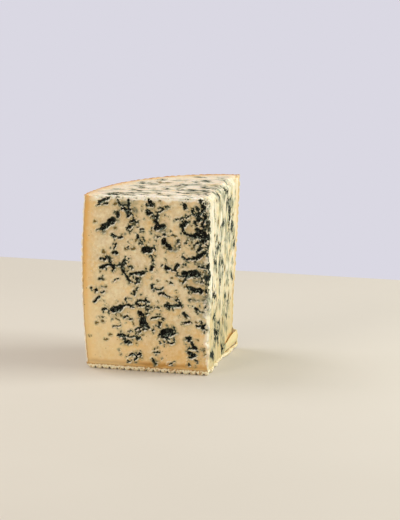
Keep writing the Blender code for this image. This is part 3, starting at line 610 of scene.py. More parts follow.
def add_flecks(lumps, count, frame_of_cut, limits, depth):
    """Single specks of mould, thinly spread over a cut."""
    origin, run, rise, outward = frame_of_cut
    for _ in range(count):
        first, second = chance.uniform(limits[0], limits[1]), chance.uniform(limits[2], limits[3])
        size = chance.uniform(0.25, 0.55)
        spin = chance.uniform(0, math.pi)
        lump_along = run * math.cos(spin) + rise * math.sin(spin)
        axes = np.stack([lump_along, rise * math.cos(spin) - run * math.sin(spin), outward])
        radii = np.array([size * chance.uniform(1.0, 2.2), size, 2.5])
        lumps.append((origin(first, second), axes, radii, chance.uniform(-0.8, 0.6), depth))


add_flecks(front_lumps, 110, front_frame, (4, 88, 10, 134), 0.6)
add_flecks(side_lumps, 90, side_frame, (6, 92, 12, 138), 0.4)
add_flecks(top_lumps, 60, top_frame, (6, 64, 6, 64), 0.4)

# The field: how far inside the nearest lump each point lies, after the points are jostled by noise, which
# turns round lumps into ragged ones.
surface = np.stack([across, back, up], axis=1)


def jostled(points, size, reach, seed):
    """The points moved about by smooth noise, up to this reach along each axis."""
    return points + reach * np.stack([ripple(points, size, seed + apart) for apart in (0.0, 41.3, 83.9)], axis=1)


FAR = 5.0  # no lump reaches further than this outside itself
mould = np.full(len(surface), -FAR)
pale = np.zeros(len(surface))
depth = np.zeros(len(surface))
CUT_ZONE = 7.0
for lumps, near_cut in (
    (front_lumps, back < CUT_ZONE),
    (side_lumps, across - side_lean(back, up) < CUT_ZONE),
    (top_lumps, top - up < CUT_ZONE),
):
    chosen = np.flatnonzero(near_cut & (on_front | on_side | on_top))
    points = surface[chosen]
    if lumps is side_lumps:
        points = points - np.stack([side_lean(back, up), 0 * back, 0 * back], axis=1)[chosen]
    points = jostled(jostled(points, 3.8, 0.8, 12.7), 1.7, 0.5, 4.0)
    for centre, axes, radii, lump_pale, lump_depth in lumps:
        near = np.flatnonzero((np.abs(points - centre) < radii.max() + FAR).all(axis=1))
        local = (points[near] - centre) @ axes.T / radii
        inside = (1 - np.linalg.norm(local, axis=1)) * min(radii[0], radii[1])
        index = chosen[near]
        better = inside > mould[index]
        mould[index[better]] = inside[better]
        pale[index[better]] = lump_pale
        depth[index[better]] = lump_depth

# Curds of paste stand up inside the veins that are not one open hollow.
near_mould = np.flatnonzero(on_front & (mould > -0.5))
curds = ripple(surface[near_mould], 2.9, 15.0) + 0.6 * ripple(surface[near_mould], 1.2, 16.0)
curds = smooth_step(curds, 0.15, 0.55)
mould[near_mould] -= 1.5 * curds * (depth[near_mould] < 4.0)

# The wire has dragged fresh paste a little way over the front's top and upright edges. The pale band that marks it is
# partly painted highlight of the lit edge roundings.
wave = np.zeros(len(surface))
wave[on_front] = 2.6 * ripple(surface[on_front], 8.0, 17.0) + 1.1 * ripple(surface[on_front], 3.0, 18.0)
brow_top = smooth_step(3.2 + wave - (top - up), -0.9, 0.9) * on_front
brow_upright = smooth_step(2.4 + 1.9 * wave - across, -0.6, 0.6) * on_front
wave[on_top] = 2.2 * ripple(surface[on_top], (9.0, 9.0, 9.0), 22.0)
brow_back = 0.8 * smooth_step(3.6 + wave - back, -1.6, 1.6) * (on_top & ~on_front)
mould -= 1.0 * brow_back + 0.22 * (on_top & ~on_front)
mould -= 0.8 * brow_upright * smooth_step(3.5 - across, 0.0, 2.0)
wave[on_side] = 3.0 * ripple(surface[on_side], (4.0, 4.0, 14.0), 21.0)
swept = np.interp(up, (0.0, 40.0, 60.0, 100.0, 140.0), (4.0, 7.0, 13.0, 16.0, 12.0)) + wave - back
brow_side = smooth_step(swept, -2.5, 2.5) * (on_side & ~on_front)
mould -= 1.2 * brow_side * smooth_step(back, 0.4, 3.0)
brow_side *= 0.4

# The paste is dingy where much mould lies within a few millimetres: the mould blurred over the front's cells.
column, row = np.rint(out * 180).astype(int), np.rint(high * 230).astype(int)
blurred = np.zeros((181, 231))
blurred[column[on_front], row[on_front]] = mould[on_front] > 0
for _ in range(60):
    padded = np.pad(blurred, 1, mode="edge")
    blurred = (padded[:-2, 1:-1] + padded[2:, 1:-1] + padded[1:-1, :-2] + padded[1:-1, 2:]) / 4
stain = np.zeros(len(surface))
stain[on_front] = blurred[column[on_front], row[on_front]]

# Relief along each point's own normal: the wire's waviness and drag, the curd's grain, crumbling edges, and
# the hollows, which are deepest in the middle of a vein.
set_coordinates(paste_mesh, surface * np.array([-1.0, 1.0, 1.0]))
outward = coordinates(paste_mesh, "vector")
shown = on_front | on_side | on_top
relief = np.zeros(len(surface))
shown_at = surface[shown]
relief[shown] = (
    0.32 * ripple(shown_at, 28.0, 1.0)
    + 0.16 * ripple(shown_at, 6.0, 2.0)
    + 0.11 * ripple(shown_at, 2.2, 3.0)
)
drag_side = ripple(surface[on_side], (3.0, 2.4, 40.0), 6.0)
drag_top = ripple(surface[on_top], (26.0, 2.6, 3.0), 7.0)
relief[on_side] += 0.34 * drag_side
relief[on_top] += 0.45 * drag_top + 0.35 * ripple(surface[on_top], (14.0, 5.0, 3.0), 14.0)
crumbly = shown & (edge_share > 0.0)
at_edge = surface[crumbly]
relief[crumbly] += edge_share[crumbly] * (
    0.60 * ripple(at_edge, 8.0, 13.0) + 0.95 * ripple(at_edge, 2.8, 8.0) + 0.65 * ripple(at_edge, 1.4, 9.0)
    - 1.5 * smooth_step(ripple(at_edge, 4.4, 12.0), 0.18, 0.45)
)
from_upright = np.hypot(across, back)
torn = shown & (from_upright < 8.0) & (top - up > 3.0)
torn_at = surface[torn]
torn_share = smooth_step(from_upright[torn], 7.5, 2.5) * smooth_step((top - up)[torn], 3.0, 8.0)
torn_share *= smooth_step(up[torn], 5.0, 12.0)
relief[torn] += torn_share * (
    1.8 * ripple(torn_at, 13.0, 23.0) + 1.2 * ripple(torn_at, 4.6, 19.0) - 1.3 * smooth_step(ripple(torn_at, 3.4, 20.0), 0.15, 0.45)
)
hollow = depth * np.tanh(1.5 * np.maximum(mould + 0.1, 0.0) / np.maximum(depth, 0.2))
rough_bed = np.zeros(len(surface))
bedded = hollow > 0.15
rough_bed[bedded] = 0.38 * ripple(surface[bedded], 1.7, 10.0) * np.minimum(hollow[bedded], 1.0)
lip = 0.60 * np.exp(-((mould + 0.7) / 0.6) ** 2) * smooth_step(depth, 0.5, 1.6)
relief += lip - hollow + rough_bed
surface_in_place = surface * np.array([-1.0, 1.0, 1.0]) + outward * relief[:, None]

under_rind = drum_radius(up) - RIND - np.hypot(across, back)
heel = np.zeros(len(surface))
heel[in_heel] = raised
crevice = np.zeros(len(surface))
crevice[in_heel] = raised * np.exp(-((foot_share[in_heel] - 0.74) / 0.12) ** 2)
set_coordinates(paste_mesh, surface_in_place * MM + np.array(drum_axis))
facing = coordinates(paste_mesh, "vector")
store(paste_mesh, "mould", mould)
store(paste_mesh, "pale", pale)
store(paste_mesh, "stain", stain)
store(paste_mesh, "hollow", hollow)
store(paste_mesh, "under_rind", under_rind)
loose = edge_share.copy()
loose[torn] = np.maximum(loose[torn], torn_share)
ragged = outward + (facing - outward) * loose[:, None]
store(paste_mesh, "front", smooth_step(-ragged[:, 1], 0.35, 0.9))
store(paste_mesh, "side", smooth_step(ragged[:, 0], 0.20, 0.8))
store(paste_mesh, "top", smooth_step(ragged[:, 2], 0.45, 0.95))
# How much each vein wall faces up and left, towards the light: the material paints highlights there.
highlight_facing = smooth_step(0.8 * facing[:, 2] - 0.5 * facing[:, 0], 0.05, 0.6)
store(paste_mesh, "lip", highlight_facing * smooth_step(-outward[:, 1], 0.6, 0.95))
store(paste_mesh, "crumbled", edge_share)
store(paste_mesh, "pale_brow_and_highlight", np.max([brow_top, 0.9 * brow_upright, brow_back, brow_side], axis=0))
store(paste_mesh, "heel", heel)
store(paste_mesh, "crevice", crevice)
paste_mesh.shade_smooth()
paste = bpy.data.objects.new("cheese_paste", paste_mesh)
bpy.context.scene.collection.objects.link(paste)

# Semi-soft blue cheese paste: waxy, slightly translucent and cloudy, darker and drier within a few
# millimetres of the rind. The mould in it is dry and powdery, grey-green at its rim and blue-black at heart, where
# painted shade of the deep hollows makes it nearly black.
paste_finish, tree, shader, place = new_material("blue_cheese_paste")
SMOOTH = {"interpolation_type": "SMOOTHSTEP"}
TIMES, PLUS, MINUS = {"operation": "MULTIPLY"}, {"operation": "ADD"}, {"operation": "SUBTRACT"}
kept = {
    name: add_node(tree, "Attribute", attribute_name=name, out="Fac")
    for name in ("mould", "pale", "hollow", "under_rind", "front", "side", "top", "lip", "crumbled", "pale_brow_and_highlight", "heel",
                 "crevice", "stain")
}
broad = add_node(tree, "TexNoise", place, grain(16.0), 3.0)
medium = add_node(tree, "TexNoise", place, grain(4.5), 3.0)
fine = add_node(tree, "TexNoise", place, grain(1.1), 3.0)
curd = add_node(tree, "TexNoise", place, grain(0.45), 2.0)
chips = add_node(tree, "TexVoronoi", place, grain(1.3))
height = add_node(tree, "SeparateXYZ", place, out="Z")

# Ivory on the fresh side cut and pinkish on top. The front cut is tan, partly because it has dried and partly as
# painted warm shade, since it faces away from the key light.
broad_share = add_node(tree, "MapRange", broad, 0.35, 0.65, **SMOOTH)
ivory = add_node(tree, "Mix", broad_share, linear("#e9e3c9"), linear("#e3dab5"), **COLOURS)
tan_with_painted_shade = add_node(tree, "Mix", broad_share, linear("#edddb9"), linear("#e7d2a8"), **COLOURS)
pinkish = add_node(tree, "Mix", broad_share, linear("#f0e6da"), linear("#e8d7c3"), **COLOURS)
tint = add_node(tree, "Mix", kept["front"], ivory, tan_with_painted_shade, **COLOURS)
tint = add_node(tree, "Mix", kept["top"], tint, pinkish, **COLOURS)
grainy = add_node(tree, "TexNoise", place, grain(2.2), 4.0, 0.65)
cloudy = add_node(tree, "TexNoise", place, grain(9.0), 4.0, 0.6)
for cloud, low, high, strength, colour in (
    (cloudy, 0.53, 0.66, 0.34, "#e9dfcd"), (cloudy, 0.48, 0.34, 0.48, "#ebbf69"),
    (medium, 0.50, 0.72, 0.50, "#dcb877"), (medium, 0.46, 0.30, 0.40, "#f4e6c2"), (grainy, 0.50, 0.66, 0.42, "#cda969"),
    (grainy, 0.46, 0.36, 0.45, "#fdf4da"), (curd, 0.55, 0.70, 0.28, "#bd9a62"), (fine, 0.56, 0.74, 0.34, "#fffbee"),
):
    share = add_node(tree, "MapRange", cloud, low, high, **SMOOTH)
    share = add_node(tree, "Math", share, strength, **TIMES)
    tint = add_node(tree, "Mix", share, tint, linear(colour), **COLOURS)

# The crumbled edges show fresh paste.
fresh = add_node(tree, "Math", kept["crumbled"], add_node(
    tree, "Math", add_node(tree, "Math", medium, 0.5, **MINUS), 1.6, **TIMES), **PLUS)
fresh = add_node(tree, "Math", add_node(tree, "MapRange", fresh, 0.15, 0.55, **SMOOTH), 0.8, **TIMES)
tint = add_node(tree, "Mix", fresh, tint, linear("#f7f0d8"), **COLOURS)
# The pale band along the edges: dragged paste, and partly painted highlight of the lit edge roundings.
tint = add_node(tree, "Mix", add_node(tree, "Math", kept["pale_brow_and_highlight"], 0.95, **TIMES), tint, linear("#fffaec"), **COLOURS)

# The wire smears mould into faint streaks, which run left and right along the top and on down the side.
along_wire = add_node(tree, "VectorMath", place, (0.10, 1.0, 0.09), **TIMES)
streak = add_node(tree, "TexNoise", along_wire, grain(2.3), 5.0, 0.6)
butter = add_node(tree, "MapRange", add_node(tree, "TexNoise", along_wire, grain(6.0), 3.0), 0.52, 0.66, **SMOOTH)
for cut_share, strength in ((kept["side"], 0.55), (kept["top"], 0.20)):
    share = add_node(tree, "Math", add_node(tree, "Math", butter, cut_share, **TIMES), strength, **TIMES)
    tint = add_node(tree, "Mix", share, tint, linear("#eccd86"), **COLOURS)
for cut_share, colours in (
    (kept["side"], ("#fbf7e6", "#c3c8a0", "#87946f")),
    (kept["top"], ("#fdf6e8", "#bcbdb0", "#8b9594")),
):
    for low, high, strength, colour in (
        (0.47, 0.36, 0.65, colours[0]), (0.53, 0.62, 0.60, colours[1]), (0.60, 0.68, 0.65, colours[2]),
    ):
        share = add_node(tree, "MapRange", streak, low, high, **SMOOTH)
        share = add_node(tree, "Math", add_node(tree, "Math", share, cut_share, **TIMES), strength, **TIMES)
        tint = add_node(tree, "Mix", share, tint, linear(colour), **COLOURS)

# Darker towards the rind, most at the drum's side, with a ragged line above the base whose dark brown is partly painted
# crevice shade; the side cut also darkens towards its bottom.
wander = add_node(tree, "Math", add_node(tree, "Math", medium, 0.5, **MINUS), 3.0, **TIMES)
from_rind = add_node(tree, "Math", kept["under_rind"], wander, **PLUS)
off_front = add_node(tree, "MapRange", kept["front"], 0.0, 1.0, 0.50, 1.0)
for near, far, strength, colour in ((2.5, 11.0, 0.80, "#efca8c"), (1.2, 4.6, 0.75, "#e9b05e")):
    share = add_node(tree, "MapRange", from_rind, far, near, **SMOOTH)
    share = add_node(tree, "Math", add_node(tree, "Math", share, off_front, **TIMES), strength, **TIMES)
    tint = add_node(tree, "Mix", share, tint, linear(colour), **COLOURS)
wander = add_node(tree, "Math", add_node(tree, "Math", medium, 0.5, **MINUS), 2.6 * MM, **TIMES)
from_base = add_node(tree, "Math", height, wander, **PLUS)
across_here = add_node(tree, "Math", drum_axis.x, add_node(tree, "SeparateXYZ", place, out="X"), **MINUS)
foot_here = add_node(tree, "MapRange", across_here, 4.0 * MM, 45.0 * MM, 0.45, 1.0, **SMOOTH)
foot_here = add_node(tree, "Math", foot_here, kept["front"], **TIMES)
# The tan-brown band is the paste's own colour under the rind; the thin dark brown line at its foot is painted crevice
# shade.
for low, high, strength, colour in ((6.8, 9.4, 0.85, "#c2873b"), (6.0, 7.6, 0.95, "#8c5424")):
    share = add_node(tree, "MapRange", from_base, high * MM, low * MM, **SMOOTH)
    if low == 6.0:
        lower = add_node(tree, "MapRange", from_base, (low - 1.6) * MM, (low - 0.4) * MM, **SMOOTH)
        share = add_node(tree, "Math", share, lower, **TIMES)
    share = add_node(tree, "Math", add_node(tree, "Math", share, foot_here, **TIMES), strength, **TIMES)
    tint = add_node(tree, "Mix", share, tint, linear(colour), **COLOURS)
warm_foot = add_node(tree, "MapRange", add_node(tree, "Math", height, add_node(
    tree, "Math", add_node(tree, "Math", broad, 0.5, **MINUS), 60.0 * MM, **TIMES), **PLUS), 46.0 * MM, 6.0 * MM, **SMOOTH)
warm_foot = add_node(tree, "Math", add_node(tree, "Math", warm_foot, kept["front"], **TIMES), 0.46, **TIMES)
tint = add_node(tree, "Mix", warm_foot, tint, linear("#ecb960"), **COLOURS)
# Painted light: the front is paler and yellower towards its lower left, as if the warm fill fell there most.
painted_light_low_left = add_node(tree, "Math", add_node(tree, "MapRange", across_here, 40.0 * MM, 75.0 * MM, **SMOOTH),
                    add_node(tree, "MapRange", height, 85.0 * MM, 35.0 * MM, **SMOOTH), **TIMES)
painted_light_low_left = add_node(tree, "Math", add_node(tree, "Math", painted_light_low_left, kept["front"], **TIMES), 0.45, **TIMES)
tint = add_node(tree, "Mix", painted_light_low_left, tint, linear("#fae6b6"), **COLOURS)
# Darker and tanner towards the bottom of the side cut, less so under the pale band along its edge.
low_side = add_node(tree, "MapRange", height, 70.0 * MM, 18.0 * MM, **SMOOTH)
low_side = add_node(tree, "Math", low_side, add_node(tree, "MapRange", kept["pale_brow_and_highlight"], 0.0, 0.6, 1.0, 0.15), **TIMES)
low_side = add_node(tree, "Math", add_node(tree, "Math", low_side, kept["side"], **TIMES), 0.70, **TIMES)
tint = add_node(tree, "Mix", low_side, tint, linear("#cbb57c"), **COLOURS)
heel_share = add_node(tree, "Math", kept["heel"], 0.8, **TIMES)
tint = add_node(tree, "Mix", heel_share, tint, linear("#ead9a2"), **COLOURS)
tint = add_node(tree, "Mix", kept["crevice"], tint, linear("#e3ac34"), **COLOURS)

# Ochre specks, then the mould: a faint stain well outside it, a pale lip that is painted highlight on the walls facing
# up and left towards the light, a grey-green or mint skin, and a heart that is nearly black where the hollow is deep,
# partly painted shade.
speck = add_node(tree, "TexVoronoi", place, grain(3.6))
speck_here = add_node(tree, "MapRange", add_node(tree, "TexNoise", place, grain(9.0), 1.0), 0.50, 0.60, **SMOOTH)
speck_share = add_node(tree, "MapRange", speck, 0.15, 0.09, **SMOOTH)
speck_share = add_node(tree, "Math", add_node(tree, "Math", speck_share, speck_here, **TIMES), 0.75, **TIMES)
tint = add_node(tree, "Mix", speck_share, tint, linear("#8f713c"), **COLOURS)
jitter = add_node(tree, "Math", add_node(tree, "Math", fine, 0.5, **MINUS), 1.0, **TIMES)
jitter = add_node(tree, "Math", jitter, add_node(tree, "Math", add_node(
    tree, "Math", chips, 0.45, **MINUS), 0.5, **TIMES), **PLUS)
smeared = add_node(tree, "Math", kept["side"], kept["top"], **PLUS)
strands = add_node(tree, "Math", add_node(tree, "Math", streak, 0.5, **MINUS), 6.0, **TIMES)
jitter = add_node(tree, "Math", jitter, add_node(tree, "Math", strands, smeared, **TIMES), **PLUS)
mould_in = add_node(tree, "Math", kept["mould"], jitter, **PLUS)
# Painted highlight: the mould colour is pulled back off the walls that face up and left, so they show pale paste.
mould_in = add_node(tree, "Math", mould_in, add_node(tree, "Math", kept["lip"], 0.75, **TIMES), **MINUS)
mould_in = add_node(tree, "Math", mould_in, 0.40, **PLUS)
stained = add_node(tree, "Math", kept["stain"], add_node(tree, "Math", medium, 0.25, **TIMES), **PLUS)
stained = add_node(tree, "Math", add_node(tree, "MapRange", stained, 0.12, 0.50, **SMOOTH), 0.50, **TIMES)
tint = add_node(tree, "Mix", stained, tint, linear("#b79b64"), **COLOURS)
halo = add_node(tree, "Math", add_node(tree, "MapRange", mould_in, -1.1, 0.1, **SMOOTH), 0.50, **TIMES)
tint = add_node(tree, "Mix", halo, tint, linear("#8d9175"), **COLOURS)
# Painted highlight: a pale lip on the walls that face up and left, just outside the mould.
painted_lip_highlight = add_node(tree, "Math", add_node(tree, "MapRange", mould_in, -2.0, -0.7, **SMOOTH),
                 add_node(tree, "Math", kept["lip"], 0.9, **TIMES), **TIMES)
tint = add_node(tree, "Mix", painted_lip_highlight, tint, linear("#fdf8e8"), **COLOURS)

skin = add_node(tree, "MapRange", mould_in, -0.10, 0.25, **SMOOTH)
# Painted shade: the heart goes nearly black as the hollow deepens.
deep = add_node(tree, "Math", mould_in, add_node(tree, "Math", kept["hollow"], 0.35, **TIMES), **PLUS)
deep = add_node(tree, "Math", deep, add_node(tree, "Math", add_node(
    tree, "Math", curd, 0.5, **MINUS), 2.2, **TIMES), **PLUS)
heart_shade = add_node(tree, "MapRange", deep, 0.0, 0.8, **SMOOTH)
# Pale mint powder, strongest on the walls that face up and left, where it is partly painted highlight.
powder = add_node(tree, "MapRange", add_node(tree, "TexNoise", place, grain(1.5), 2.0), 0.50, 0.66, **SMOOTH)
powder = add_node(tree, "Math", powder, add_node(tree, "Math", kept["lip"], 0.10, **PLUS), **TIMES)
olive = add_node(tree, "Mix", broad_share, linear("#5f6550"), linear("#6c6744"), **COLOURS)
edge_tint = add_node(tree, "Mix", kept["pale"], olive, linear("#8a9c88"), **COLOURS)
heart_and_shade_tint = add_node(tree, "Mix", kept["pale"], linear("#0b0704"), linear("#3c4a43"), **COLOURS)
mould_tint = add_node(tree, "Mix", heart_shade, edge_tint, heart_and_shade_tint, **COLOURS)
mould_tint = add_node(tree, "Mix", powder, mould_tint, linear("#a9b8a6"), **COLOURS)
rusty = add_node(tree, "MapRange", kept["pale"], -0.1, -0.6, **SMOOTH)
mould_tint = add_node(tree, "Mix", rusty, mould_tint, linear("#7c693c"), **COLOURS)
thinness = add_node(tree, "MapRange", kept["pale"], 0.35, 0.95, 1.0, 0.55)
patchy = add_node(tree, "Math", add_node(tree, "MapRange", grainy, 0.44, 0.60, 0.0, 0.50),
                  add_node(tree, "MapRange", kept["pale"], 0.35, 0.75), **TIMES)
thinness = add_node(tree, "Math", thinness, patchy, **MINUS)
tint = add_node(tree, "Mix", add_node(tree, "Math", skin, thinness, **TIMES), tint, mould_tint, **COLOURS)
tree.links.new(tint, shader.inputs["Base Color"])

dryness = add_node(tree, "MapRange", skin, 0.0, 1.0, 0.46, 0.90)
tree.links.new(dryness, shader.inputs["Roughness"])
shader.inputs["IOR"].default_value = 1.44
shader.inputs["Specular IOR Level"].default_value = 0.22
shader.inputs["Subsurface Weight"].default_value = 0.22
shader.inputs["Subsurface Radius"].default_value = (1.0, 0.62, 0.34)
shader.inputs["Subsurface Scale"].default_value = 2.2 * MM

crumb = add_node(tree, "Math", add_node(tree, "Math", fine, curd, **PLUS), 0.5, **TIMES)
fuzz = add_node(tree, "Math", add_node(tree, "Math", chips, skin, **TIMES), 1.2, **TIMES)
relief_node = add_node(tree, "Bump", 0.5, 0.4 * MM)
bump = relief_node.node
tree.links.new(add_node(tree, "Math", crumb, fuzz, **PLUS), bump.inputs["Height"])
tree.links.new(relief_node, shader.inputs["Normal"])
paste_mesh.materials.append(paste_finish)
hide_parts("cheese_wedge")
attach(paste, "root")


# ---- Crumbs and mould tufts -----------------------------------------------------------------------
# Crumbs of paste that the wire has torn loose cling along the cut edges and the lips of the veins. In the open
# veins the mould stands in powdery tufts, from nearly black through grey-green to the white of fresh growth.
skin_at = coordinates(paste_mesh).copy()
skin_out = coordinates(paste_mesh, "vector").copy()
grown = np.random.default_rng(7)


def scatter(name, weights, count, sizes, sink, flatten):
    """Many small uneven lumps on the paste, each with its own shade: where the weights put them."""
    bm = bmesh.new()
    shades = []
    chosen_at = grown.choice(len(weights), size=count, replace=False, p=weights / weights.sum())
    for at in chosen_at:
        size = grown.uniform(*sizes) * MM
        place = Vector(skin_at[at] + skin_out[at] * sink * size)
        spun = Matrix.Rotation(grown.uniform(0, 2 * math.pi), 4, Vector(grown.normal(size=3)).normalized())
        shape = Matrix.Diagonal((size, size * grown.uniform(flatten, 1.0), size * grown.uniform(flatten, 1.0), 1.0))
        lump = bmesh.ops.create_icosphere(
            bm, subdivisions=1, radius=1.0, matrix=Matrix.Translation(place) @ spun @ shape)["verts"]
        for vert in lump:
            vert.co += Vector(grown.normal(0, 0.14 * size, 3))
        shades += [grown.uniform()] * len(lump)
    mesh = bpy.data.meshes.new(name)
    bm.to_mesh(mesh)
    bm.free()
    store(mesh, "shade", np.array(shades))
    mesh.shade_smooth()
    piece = bpy.data.objects.new(name, mesh)
    bpy.context.scene.collection.objects.link(piece)
    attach(piece, "root")
    return piece


off_foot = surface[:, 2] > 9.0
inner_rim = under_rind > 2.0
along_edge = edge_share * (np.abs(outward[:, 1]) > 0.15) * off_foot * inner_rim
vein_lip = np.exp(-((mould + 0.5) / 0.4) ** 2) * (hollow < 0.6) * smooth_step(depth, 1.0, 3.0) * on_front
floury = on_front * smooth_step(across, 40.0, 80.0) * smooth_step(surface[:, 2], 60.0, 20.0) * (mould < -0.5) * 0.02
crumbs = scatter("paste_crumbs", (along_edge + 0.5 * vein_lip + floury) * off_foot * inner_rim * shown, 420, (0.25, 0.62), 0.1, 0.5)

# Fresh broken paste: paler than the dried cut, and rough.
crumb_finish, tree, shader, place = new_material("crumbled_cheese_paste")
shade = add_node(tree, "Attribute", attribute_name="shade", out="Fac")
tint = add_node(tree, "Mix", shade, linear("#e9d6a8"), linear("#fdf7e4"), **COLOURS)
tree.links.new(tint, shader.inputs["Base Color"])
shader.inputs["Roughness"].default_value = 0.60
shader.inputs["Subsurface Weight"].default_value = 0.22
shader.inputs["Subsurface Radius"].default_value = (1.0, 0.62, 0.34)
shader.inputs["Subsurface Scale"].default_value = 1.0 * MM
crumbs.data.materials.append(crumb_finish)

in_vein = smooth_step(mould, 0.0, 0.4) * (hollow > 0.5) * (depth > 1.5) * (on_front | on_side)
tufts = scatter("mould_tufts", in_vein * off_foot, 480, (0.22, 0.50), -0.1, 0.6)

# Blue mould gone to spore: matt powder with no gloss, in the shades that its age gives it.
tuft_finish, tree, shader, place = new_material("blue_mould_powder")
shade = add_node(tree, "Attribute", attribute_name="shade", out="Fac")
tint = linear("#0e0c09")
for low, high, colour in ((0.42, 0.66, "#2a2721"), (0.68, 0.84, "#66735f"), (0.86, 0.98, "#cfd4c0")):
    share = add_node(tree, "MapRange", shade, low, high, **SMOOTH)
    tint = add_node(tree, "Mix", share, tint, linear(colour), **COLOURS)
speckle = add_node(tree, "MapRange", add_node(tree, "TexNoise", place, grain(0.5), 2.0), 0.40, 0.62, **SMOOTH)
speckle = add_node(tree, "Math", speckle, 0.35, **TIMES)
tint = add_node(tree, "Mix", speckle, tint, linear("#2c2f28"), **COLOURS)
tree.links.new(tint, shader.inputs["Base Color"])
shader.inputs["Roughness"].default_value = 1.0
shader.inputs["Specular IOR Level"].default_value = 0.10
tufts.data.materials.append(tuft_finish)


# ---- Rind -----------------------------------------------------------------------------------------
# The drum's dry skin: a thin mottled crust on the side, printed with the cheese mould's weathered nubs, and
# a thicker base printed with the draining mat's studs, which show as teeth along the foot of the cuts.
PRINT_PITCH = 6.0
STUD_DEPTH = 2.9
FOOT_ROUND = 4.5
SIDE_SKIN = RIND / RIM_RADIUS
BASE_SKIN = BASE_RIND / TOP_AT_AXIS
rind_bm = block_faces(SKINS, (150, 150, 190))


def rim_planes(skin_share, cut):
    """Where a ring of the rind's section lies: how far through the skin, and how far in from the cut."""
    side, base = skin_share * SIDE_SKIN, skin_share * BASE_SKIN
    return ((side - 1, -cut), (cut, 1 - side), (base, 1 - cut))


RINGS = ((0.0, 0.0), (0.30, 0.0), (0.72, 0.0), (1.0, 0.0), (1.0, 0.012))
for outer_ring, inner_ring in zip(RINGS, RINGS[1:]):
    was, now = rim_planes(*outer_ring), rim_planes(*inner_ring)
    made = bmesh.ops.extrude_edge_only(rind_bm, edges=open_rim(rind_bm))["geom"]
    for vert in made:
        if isinstance(vert, bmesh.types.BMVert):
            for axis in range(3):
                for before, after in zip(was[axis], now[axis]):
                    if abs(vert.co[axis] - before) < 1e-5:
                        vert.co[axis] = after
inside = block_faces(
    SKINS, (16, 16, 18), low=(SIDE_SKIN - 1, 0.012, BASE_SKIN), high=(-0.012, 1 - SIDE_SKIN, 0.988)
)
back_with(rind_bm, inside)
rind_mesh = bpy.data.meshes.new("cheese_rind")
rind_bm.to_mesh(rind_mesh)
rind_bm.free()

unit = coordinates(rind_mesh)
out, deep, high = -unit[:, 0], unit[:, 1], unit[:, 2]


def on_plane(values, plane):
    return np.abs(values - plane) < 1e-5


skin_share = np.ones(len(unit))
for share in (1.0, 0.72, 0.30, 0.0):
    at_side = on_plane(out, 1 - share * SIDE_SKIN) | on_plane(deep, 1 - share * SIDE_SKIN)
    skin_share[at_side | on_plane(high, share * BASE_SKIN)] = share
on_section = on_plane(out, 0.0) | on_plane(deep, 0.0) | on_plane(high, 1.0)
on_front, on_side, on_top = on_plane(deep, 0.0), on_plane(out, 0.0), on_plane(high, 1.0)


def from_middles(values):
    """0 in the middle of each nub or stud of the print and 1 in the middle of each groove."""
    return 2 * np.abs((values / PRINT_PITCH + 0.5) % 1.0 - 0.5)


level_across, level_back = quarter_disc(out, deep, RIM_RADIUS)
level = np.stack([level_across, level_back, 0 * level_across], axis=1)
wander = 0.55 * ripple(level, 7.0, 21.0), 0.55 * ripple(level, 7.0, 22.0)
square = (from_middles(level_across + wander[0]) ** 4 + from_middles(level_back + wander[1]) ** 4) ** 0.25
merged = 0.75 + 0.45 * ripple(level, 4.0, 33.0)
groove = smooth_step(square, 0.76, 1.0) * np.clip(merged, 0.25, 1.0)
underside = STUD_DEPTH * groove * (0.9 + 0.25 * ripple(level, 9.0, 23.0)) + 0.35 * square**2
underside += 0.9 * np.maximum(ripple(level, 2.2, 24.0) - 0.1, 0.0)

top = top_height(level_across, level_back)
in_base = np.clip(high / BASE_SKIN, 0.0, 1.0)
above_base = np.clip((high - BASE_SKIN) / (1 - BASE_SKIN), 0.0, 1.0)
up = underside + (BASE_RIND - underside) * in_base + (top - BASE_RIND) * above_base

# The side's relief, on the unrolled drum: nubs that come and go, lumps, grain and a few pits.
radius = drum_radius(up)
across, back = quarter_disc(out, deep, radius)
turned = np.arctan2(back, np.maximum(across, 1e-6))
around = np.stack([across, back, up], axis=1)
weather = smooth_step(ripple(around, 19.0, 25.0), -0.40, 0.45)
shift_along = 1.5 * ripple(around, 15.0, 26.0) + 0.9 * ripple(around, 5.0, 34.0)
worn = 0.45 * ripple(around, 6.5, 35.0)
nub = 1 - smooth_step(
    np.hypot(from_middles(RIM_RADIUS * turned + shift_along), from_middles(up + 1.5 - shift_along)) + worn, 0.25, 1.05
)
skin_relief = (
    (0.15 + 0.85 * weather) * 0.85 * nub
    + 0.55 * ripple(around, 12.0, 27.0)
    + 0.30 * ripple(around, 3.3, 28.0)
    + 0.16 * ripple(around, 1.5, 29.0)
    - 0.55 * smooth_step(ripple(around, 4.4, 30.0), 0.35, 0.7)
) - 0.45
foot_gap = np.stack([radius - np.hypot(across, back), up], axis=1)
foot_short = np.clip(FOOT_ROUND - foot_gap, 0.0, None)
foot_reach = np.maximum(np.linalg.norm(foot_short, axis=1), FOOT_ROUND)
foot_round = FOOT_ROUND - foot_short * (FOOT_ROUND / foot_reach)[:, None]
foot_round = np.where(foot_short > 0, foot_round, foot_gap)
up = foot_round[:, 1]
base_share = smooth_step(up, 6.0, 1.0)
pushed = radius - foot_round[:, 0] + skin_relief * (1 - skin_share) * (1 - 0.7 * base_share)
scale = pushed / np.maximum(np.hypot(across, back), 1e-6)
scale = np.where(high > 1e-6, scale, np.minimum(scale, 1.0))
across, back = across * scale, back * scale


